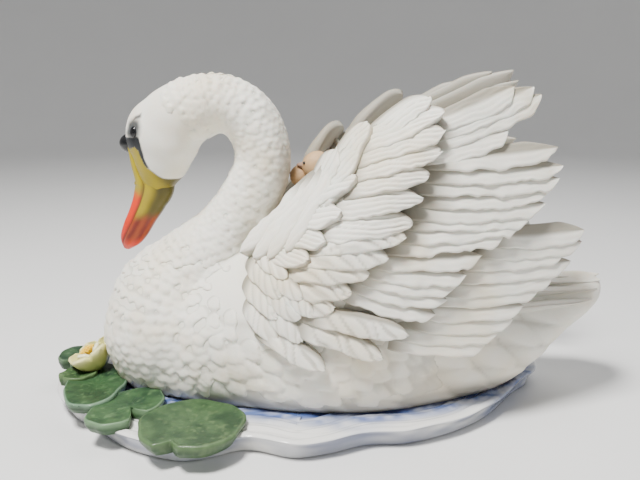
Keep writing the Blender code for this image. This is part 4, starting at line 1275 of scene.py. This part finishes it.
def make_plate(tree):
    """The plate from its vent and foot up over the rim to the water, painted blue round the swan."""
    count = RIM_STEPS
    turn = 2 * np.pi * np.arange(count) / count
    crest = led_back(0.45 * np.sin(17 * turn) + 0.3 * value_noise(np.arange(count) / 9.0, 21), 30)
    swirl = led_back(value_noise(np.arange(count) / 14.0, 33), 30)

    def ring(inset, height, ripple=0.0):
        flat = rim_outline(inset, count)
        return np.column_stack([flat, np.broadcast_to(height, (count,)) + ripple * crest])

    around = np.stack([np.cos(turn + np.pi), np.sin(turn + np.pi)], 1)
    vent = np.array(VENT_CENTRE) + VENT_RADIUS * around
    foot = PLATE_FLARE + FOOT_WIDTH
    rings = [np.column_stack([vent, np.full(count, height)]) for height in (VENT_DEPTH - 2.0, RECESS_DEPTH)]
    for height in (RECESS_DEPTH, 0.6, 0.0):
        rings.append(ring(foot if height else foot - 0.5, height))
    rings.append(ring(PLATE_FLARE + 0.8, 0.0))
    rings.append(ring(PLATE_FLARE + 0.1, 0.5))
    for share in np.linspace(0.1, 1.0, 8):
        inset = PLATE_FLARE * (1 - share**1.6) + 0.35 * np.sin(9 * turn + 3 * share) ** 2 * share
        rings.append(ring(inset, 0.5 + (PLATE_HEIGHT - 1.3) * share, 0.9 * share))
    for share in np.linspace(0.15, 1.0, 6):
        angle = 0.5 * np.pi * share
        rings.append(ring(1.6 * (1 - math.cos(angle)), PLATE_HEIGHT - 0.8 + 1.0 * math.sin(angle), 0.9))
    side_rings = len(rings)
    for inset in np.concatenate([np.arange(2.4, 34.0, 0.75), [37.0, 41.0]]):
        swell = 0.38 * np.sin(inset * 0.85 + 1.3 * np.sin(5 * turn) + 2.0 * swirl)
        swell = swell + 0.22 * np.sin(inset * 1.9 + 2.2 * np.sin(11 * turn))
        fade = smooth_step(2.0, 6.0, inset)
        rings.append(ring(inset, PLATE_HEIGHT + 0.2 - 0.5 * fade + swell * fade, 0.9 * (1 - fade)))
    rings = np.array(rings)
    points = rings.reshape(-1, 3)
    piece = join_meshes("water_plate", [ring_shape(rings)])
    gap = np.array([tree.find_nearest(Vector(point))[3] for point in points])
    streaks = 0.5 + 0.5 * field_noise(points * (0.28, 1.0, 1.0), 4.0, 41)
    streaks = streaks + 0.3 * field_noise(points * (0.5, 1, 1), 1.8, 42)
    patches = 0.5 + 0.5 * field_noise(points, 16.0, 43)
    wash = smooth_step(11.0 + 10.0 * patches, 2.0, gap) * np.clip(0.3 + 1.0 * streaks, 0.0, 1.0)
    white, cool, blue = srgb(228, 227, 224), srgb(214, 218, 226), srgb(80, 104, 160)
    deep_blue, painted_contact_shadow, under_rim = srgb(50, 66, 118), srgb(38, 44, 80), srgb(100, 108, 140)
    colours = blend(white, cool, 0.6 * smooth_step(0.3, 0.9, patches))
    colours = blend(colours, blue, np.clip(wash, 0.0, 1.0))
    navy = smooth_step(0.62, 0.95, streaks) * smooth_step(7.0 + 5.0 * patches, 1.5, gap)
    colours = blend(colours, deep_blue, 0.75 * navy)
    # Painted shadow: a dark line on the water right along where the swan's body meets it
    line = smooth_step(1.9, 0.9, gap + 0.7 * field_noise(points, 3.0, 44))
    colours = blend(colours, painted_contact_shadow, 0.85 * line)
    below = np.repeat(np.arange(len(rings)) < side_rings - 5, count).astype(float) * 0.75
    below = below * np.clip(0.55 + 0.8 * field_noise(points * (0.4, 0.4, 1.4), 5.0, 45), 0.0, 1.0)
    colours = blend(colours, under_rim, below)
    set_paint(piece, colours)
    return piece


# Lily pads and water lily
def make_pad(number, pad):
    """A round leaf with a notch, dished a little towards its middle, its edge lightly curled."""
    x, y, top, half_length, half_width, turn, notch_at, notch_depth = pad
    sides, steps = 180, 30
    degrees = 360.0 * np.arange(sides) / sides
    angle = np.radians(degrees + notch_at)
    near_notch = 1.0 - np.minimum(np.minimum(degrees, 360.0 - degrees), PAD_NOTCH_ANGLE) / PAD_NOTCH_ANGLE
    lobes = 0.962 + 0.024 * np.sin(5 * angle + number) + 0.013 * np.sin(9 * angle + 2 * number)
    veins = np.abs(np.sin(6.5 * angle)) ** 0.7
    c, s = math.cos(math.radians(turn)), math.sin(math.radians(turn))
    curl = led_back(0.35 + 0.45 * value_noise(np.arange(sides) / 22.0, 50 + number), 12)

    def ring(share, height):
        radius = share * (1.0 - notch_depth * near_notch * share) * lobes
        u, v = half_length * radius * np.cos(angle), half_width * radius * np.sin(angle)
        return np.stack([x + u * c - v * s, y + u * s + v * c, np.broadcast_to(height, angle.shape)], 1)

    rings = [ring(0.90, top - 5.5), ring(0.985, top - 2.8), ring(0.998, top - 1.3)]
    shares = [1.0, 1.0, 1.0]
    for share in np.linspace(1.0, 0.04, steps):
        edge = curl * smooth_step(0.84, 0.96, share) - 0.8 * smooth_step(0.955, 1.0, share)
        vein = -0.10 * (1 - veins) * smooth_step(0.05, 0.3, share) * smooth_step(0.95, 0.7, share)
        swell = 0.25 * np.sin(3 * angle + number) * share
        rings.append(ring(share, top - 0.3 + edge + vein + swell - 1.2 * (1 - share) ** 1.2))
        shares.append(share)
    rings = np.array(rings)
    points = rings.reshape(-1, 3)
    piece = join_meshes(f"lily_pad_{number}", [ring_shape(rings)])
    dark, middle, light, edge_colour = [srgb(*colour) for colour in PAD_COLOURS[number]]
    share = np.repeat(np.array(shares, float), sides)
    mottle = 0.5 + 0.5 * field_noise(points, 7.0, 60 + number) + 0.3 * field_noise(points, 2.2, 70 + number)
    fleck = field_noise(points, 1.6, 80 + number) * 0.7 + 0.3 * field_noise(points, 5.0, 90)
    at_edge = smooth_step(0.93, 0.975, share) * (points[:, 2] > top - 1.5)
    colours = blend(dark, middle, smooth_step(0.1, 0.7, mottle))
    colours = blend(colours, light, 0.6 * smooth_step(0.25, 0.6, fleck))
    colours = blend(colours, dark, 0.25 * np.tile(1 - veins, len(rings)) * (share > 0.05))
    # A lighter band along the top of the rim
    colours = blend(colours, edge_colour, 0.65 * at_edge)
    set_paint(piece, colours)
    return piece


def make_water_lily():
    """Two rings of cupped petals, the round heart and the stamens on it."""
    axis = unit(LILY_AXIS)
    side = unit(np.cross(axis, (0.0, 1.0, 0.0)))
    front = np.cross(side, axis)
    shapes, colours = [], []
    for ring_number, (count, length, opening, width) in enumerate(PETAL_RINGS):
        for number in range(count):
            turn = 2 * math.pi * (number + 0.5 * ring_number) / count
            out = side * math.cos(turn) + front * math.sin(turn)
            flat = np.cross(axis, out)
            t, q = np.meshgrid(np.linspace(0, 1, 26), np.linspace(-1, 1, 13), indexing="ij")
            wide = np.interp(t, (0.0, 0.3, 0.62, 0.88, 1.0), (0.35, 0.88, 1.0, 0.6, 0.06))
            bow = opening * (1.0 + PETAL_CURL * (0.4 - t))
            spine = out * np.sin(bow)[..., None] + axis * np.cos(bow)[..., None]
            spine = spine * (length * 0.98 * t)[..., None]
            outward = out * np.cos(bow)[..., None] - axis * np.sin(bow)[..., None]
            cup = 0.25 * width * wide * q**2
            furrow = 0.10 * np.sin(q * 9.0 + number) * smooth_step(0.1, 0.5, t) * (1 - q**2)
            top = LILY_BASE + spine + flat * (0.5 * width * wide * q)[..., None]
            top = top - outward * (cup + furrow)[..., None]
            back = (top + outward * LILY_PETAL_THICKNESS)[:, ::-1]
            shapes.append(ring_shape(np.concatenate([top, back], axis=1)))
            share = np.concatenate([t, t], axis=1).ravel()
            if ring_number:
                colours.append(blend(srgb(222, 216, 130), srgb(242, 238, 196), smooth_step(0.1, 0.6, share)))
            else:
                shade = blend(srgb(150, 160, 78), srgb(210, 208, 128), smooth_step(0.0, 0.55, share))
                colours.append(blend(shade, srgb(232, 226, 160), smooth_step(0.7, 1.0, share)))
    petals = join_meshes("water_lily_petals", shapes)
    set_paint(petals, np.vstack(colours))
    shapes = []
    for number in range(STAMENS):
        turn = STAMEN_TURN * number
        spread = 0.62 * math.sqrt(number / STAMENS)
        aim = unit(axis + (side * math.cos(turn) + front * math.sin(turn)) * spread)
        base = LILY_BASE + axis * LILY_HEART_RADIUS + aim * 2.5
        rings = []
        for share, size in ((0, 0.5), (0.5, 0.42), (0.85, 0.62), (1.0, 0.25)):
            rings.append(hoop(base + aim * STAMEN_LENGTH * share, side * size, front * size, 8))
        shapes.append(ring_shape(np.array(rings)))
    stamens = plain_piece("water_lily_stamens", shapes, srgb(240, 200, 44))
    heart = ball(LILY_BASE + axis * LILY_HEART_RADIUS, (LILY_HEART_RADIUS,) * 3, 24, 14)
    heart = plain_piece("water_lily_heart", [heart], srgb(206, 190, 84))
    return [petals, stamens, heart]


# Cygnets
def make_cygnet(number, cygnet):
    """A downy cygnet's body with neck and head as one skin, its bill, and its eyes."""
    body, radius, head, head_radius, bill_points = cygnet
    body, head = np.array(body), np.array(head)
    body_radii = (radius * CYGNET_BODY_LENGTH, radius * CYGNET_BODY_WIDTH, radius)
    shapes = [ball(body, body_radii), ball(head, (head_radius,) * 3)]
    across, ahead, up = np.eye(3)
    neck = []
    for share in np.linspace(0, 1, 10):
        wide = np.interp(share, (0.0, 0.35, 0.7, 1.0), (0.75, 0.68, 0.56, 0.5)) * radius
        neck.append(hoop(body * (1 - share) + head * share, across * wide, ahead * wide, 24))
    shapes.append(ring_shape(np.array(neck)))
    down = join_meshes(f"cygnet_{number}", shapes)
    voxel_remesh(down, CYGNET_VOXEL)
    soften(down, 12)
    points = points_of(down)
    fluff = 0.12 * field_noise(points * (0.5, 1.0, 1.0), 2.2, 80 + number)
    fluff = fluff + 0.15 * field_noise(points, 5.0, 90)
    move_points(down, points + normals_of(down) * fluff[:, None])
    share = np.clip(0.5 + 0.9 * field_noise(points, 6.0, 95), 0, 1)
    set_paint(down, blend(srgb(192, 158, 118), srgb(166, 132, 96), 0.6 * share))
    forward = unit(np.array((*bill_points, 0.0)))
    sideways = np.array((-forward[1], forward[0], 0.0))
    rings = []
    length, half_width, half_depth = CYGNET_BILL
    for share, wide in ((0.0, 1.0), (0.3, 0.9), (0.6, 0.72), (0.85, 0.5), (1.0, 0.25)):
        middle = head + forward * (0.7 * head_radius + length * share)
        rings.append(hoop(middle, sideways * half_width * wide, up * half_depth * wide, 20))
    bill = plain_piece(f"cygnet_{number}_bill", [ring_shape(np.array(rings))], srgb(150, 122, 104))
    eyes = []
    for sign in (-1, 1):
        direction = unit(forward * 0.62 + sideways * sign * 0.75 + up * 0.22)
        eyes.append(ball(head + direction * (head_radius - 0.15), (CYGNET_EYE_RADIUS,) * 3, 16, 10))
    eye = plain_piece(f"cygnet_{number}_eyes", eyes, srgb(20, 18, 18))
    return down, bill, eye


# Stage
def make_stage():
    """A pale round floor that curves up far around the swan."""
    profile = [(0.05, 0.0), (400.0, 0.0), (FLOOR_RADIUS, 0.0)]
    for angle in 0.5 * np.pi * np.arange(1, 25) / 24:
        profile.append((FLOOR_RADIUS + FLOOR_CURVE * math.sin(angle), FLOOR_CURVE * (1 - math.cos(angle))))
    profile.append((FLOOR_RADIUS + FLOOR_CURVE, FLOOR_WALL))
    across, ahead, up = np.eye(3)
    rings = np.array([hoop(up * height, across * radius, ahead * radius, 96) for radius, height in profile])
    floor = make_mesh("floor", rings.reshape(-1, 3), loft_faces(len(profile), 96).tolist())
    nodes = Nodes("pale_floor")
    nodes.link(nodes.mix(nodes.noise(6.0), FLOOR_TONE, FLOOR_TONE_LIGHT), nodes.shader.inputs["Base Color"])
    nodes.shader.inputs["Roughness"].default_value = 0.85
    floor.data.materials.append(nodes.material)


def add_area(name, place, size, power, colour):
    light = bpy.data.lights.new(name, "AREA")
    light.shape = "DISK"
    light.size = size
    light.energy = power
    light.color = colour
    made = bpy.data.objects.new(name, light)
    made.location = place
    x, y, z = np.array(LIGHT_AIM) - np.array(place)
    made.rotation_euler = (math.atan2(math.hypot(x, y), -z), 0.0, math.atan2(y, x) - math.pi / 2)
    bpy.context.scene.collection.objects.link(made)


def light_scene():
    """A soft pale room and three round area lights."""
    world = bpy.data.worlds.new("soft_room")
    world.use_nodes = True
    world.node_tree.nodes["Background"].inputs[0].default_value = ROOM_COLOUR
    world.node_tree.nodes["Background"].inputs[1].default_value = ROOM_STRENGTH
    bpy.context.scene.world = world
    for light in LIGHTS:
        add_area(*light)


def place_camera():
    camera = bpy.data.cameras.new("camera")
    camera.lens = CAMERA_LENS
    camera.sensor_width = CAMERA_SENSOR
    camera.clip_start = 0.01
    made = bpy.data.objects.new("camera", camera)
    x, y, z = CAMERA_PLACE
    made.location = ((x - MIDDLE_X) * MM, (y - MIDDLE_Y) * MM, z * MM)
    made.rotation_euler = (CAMERA_TILT, 0.0, 0.0)
    bpy.context.scene.collection.objects.link(made)
    bpy.context.scene.camera = made


def main():
    place_camera()
    light_scene()
    make_stage()
    bisque = bisque_material()
    paint = painted_material("painted_bill", 0.40, 500.0, 0.10, 0.06, 0.08)
    black = painted_material("painted_black", 0.28, 500.0, 0.08, 0.0, 0.4)
    leaf = painted_material("painted_leaf", 0.48, 600.0, 0.3, 0.14, 0.08)
    petal = painted_material("painted_petal", 0.45, 500.0, 0.12, 0.05, 0.15)
    glaze = painted_material("glazed_water", 0.20, 180.0, 0.12, 0.0, 0.6)
    downy = painted_material("painted_cygnet", 0.6, 700.0, 0.25, 0.06)

    trunk = make_trunk()
    tree = skin_tree(trunk)
    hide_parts(NODE)
    finish_piece(trunk, bisque)
    for piece in make_scales(trunk) + [make_flank_feathers(trunk)]:
        finish_piece(piece, bisque)
    for piece in make_wing(far=False) + make_wing(far=True) + [make_tail()]:
        finish_piece(piece, bisque)
    finish_piece(make_bill(), paint)
    finish_piece(make_eyes(tree), black)
    points, faces, _ = ball(KNOB_CENTRE, KNOB_RADII)
    knob = plain_piece("bill_knob", [(turned(points, 1.0), faces, {})], srgb(20, 21, 23))
    finish_piece(knob, black)
    finish_piece(make_plate(tree), glaze)
    for number, pad in enumerate(LILY_PADS):
        finish_piece(make_pad(number, pad), leaf)
    for piece in make_water_lily():
        finish_piece(piece, petal)
    for number, cygnet in enumerate(CYGNETS):
        down, bill, eye = make_cygnet(number, cygnet)
        finish_piece(down, downy)
        finish_piece(bill, downy)
        finish_piece(eye, black)


main()
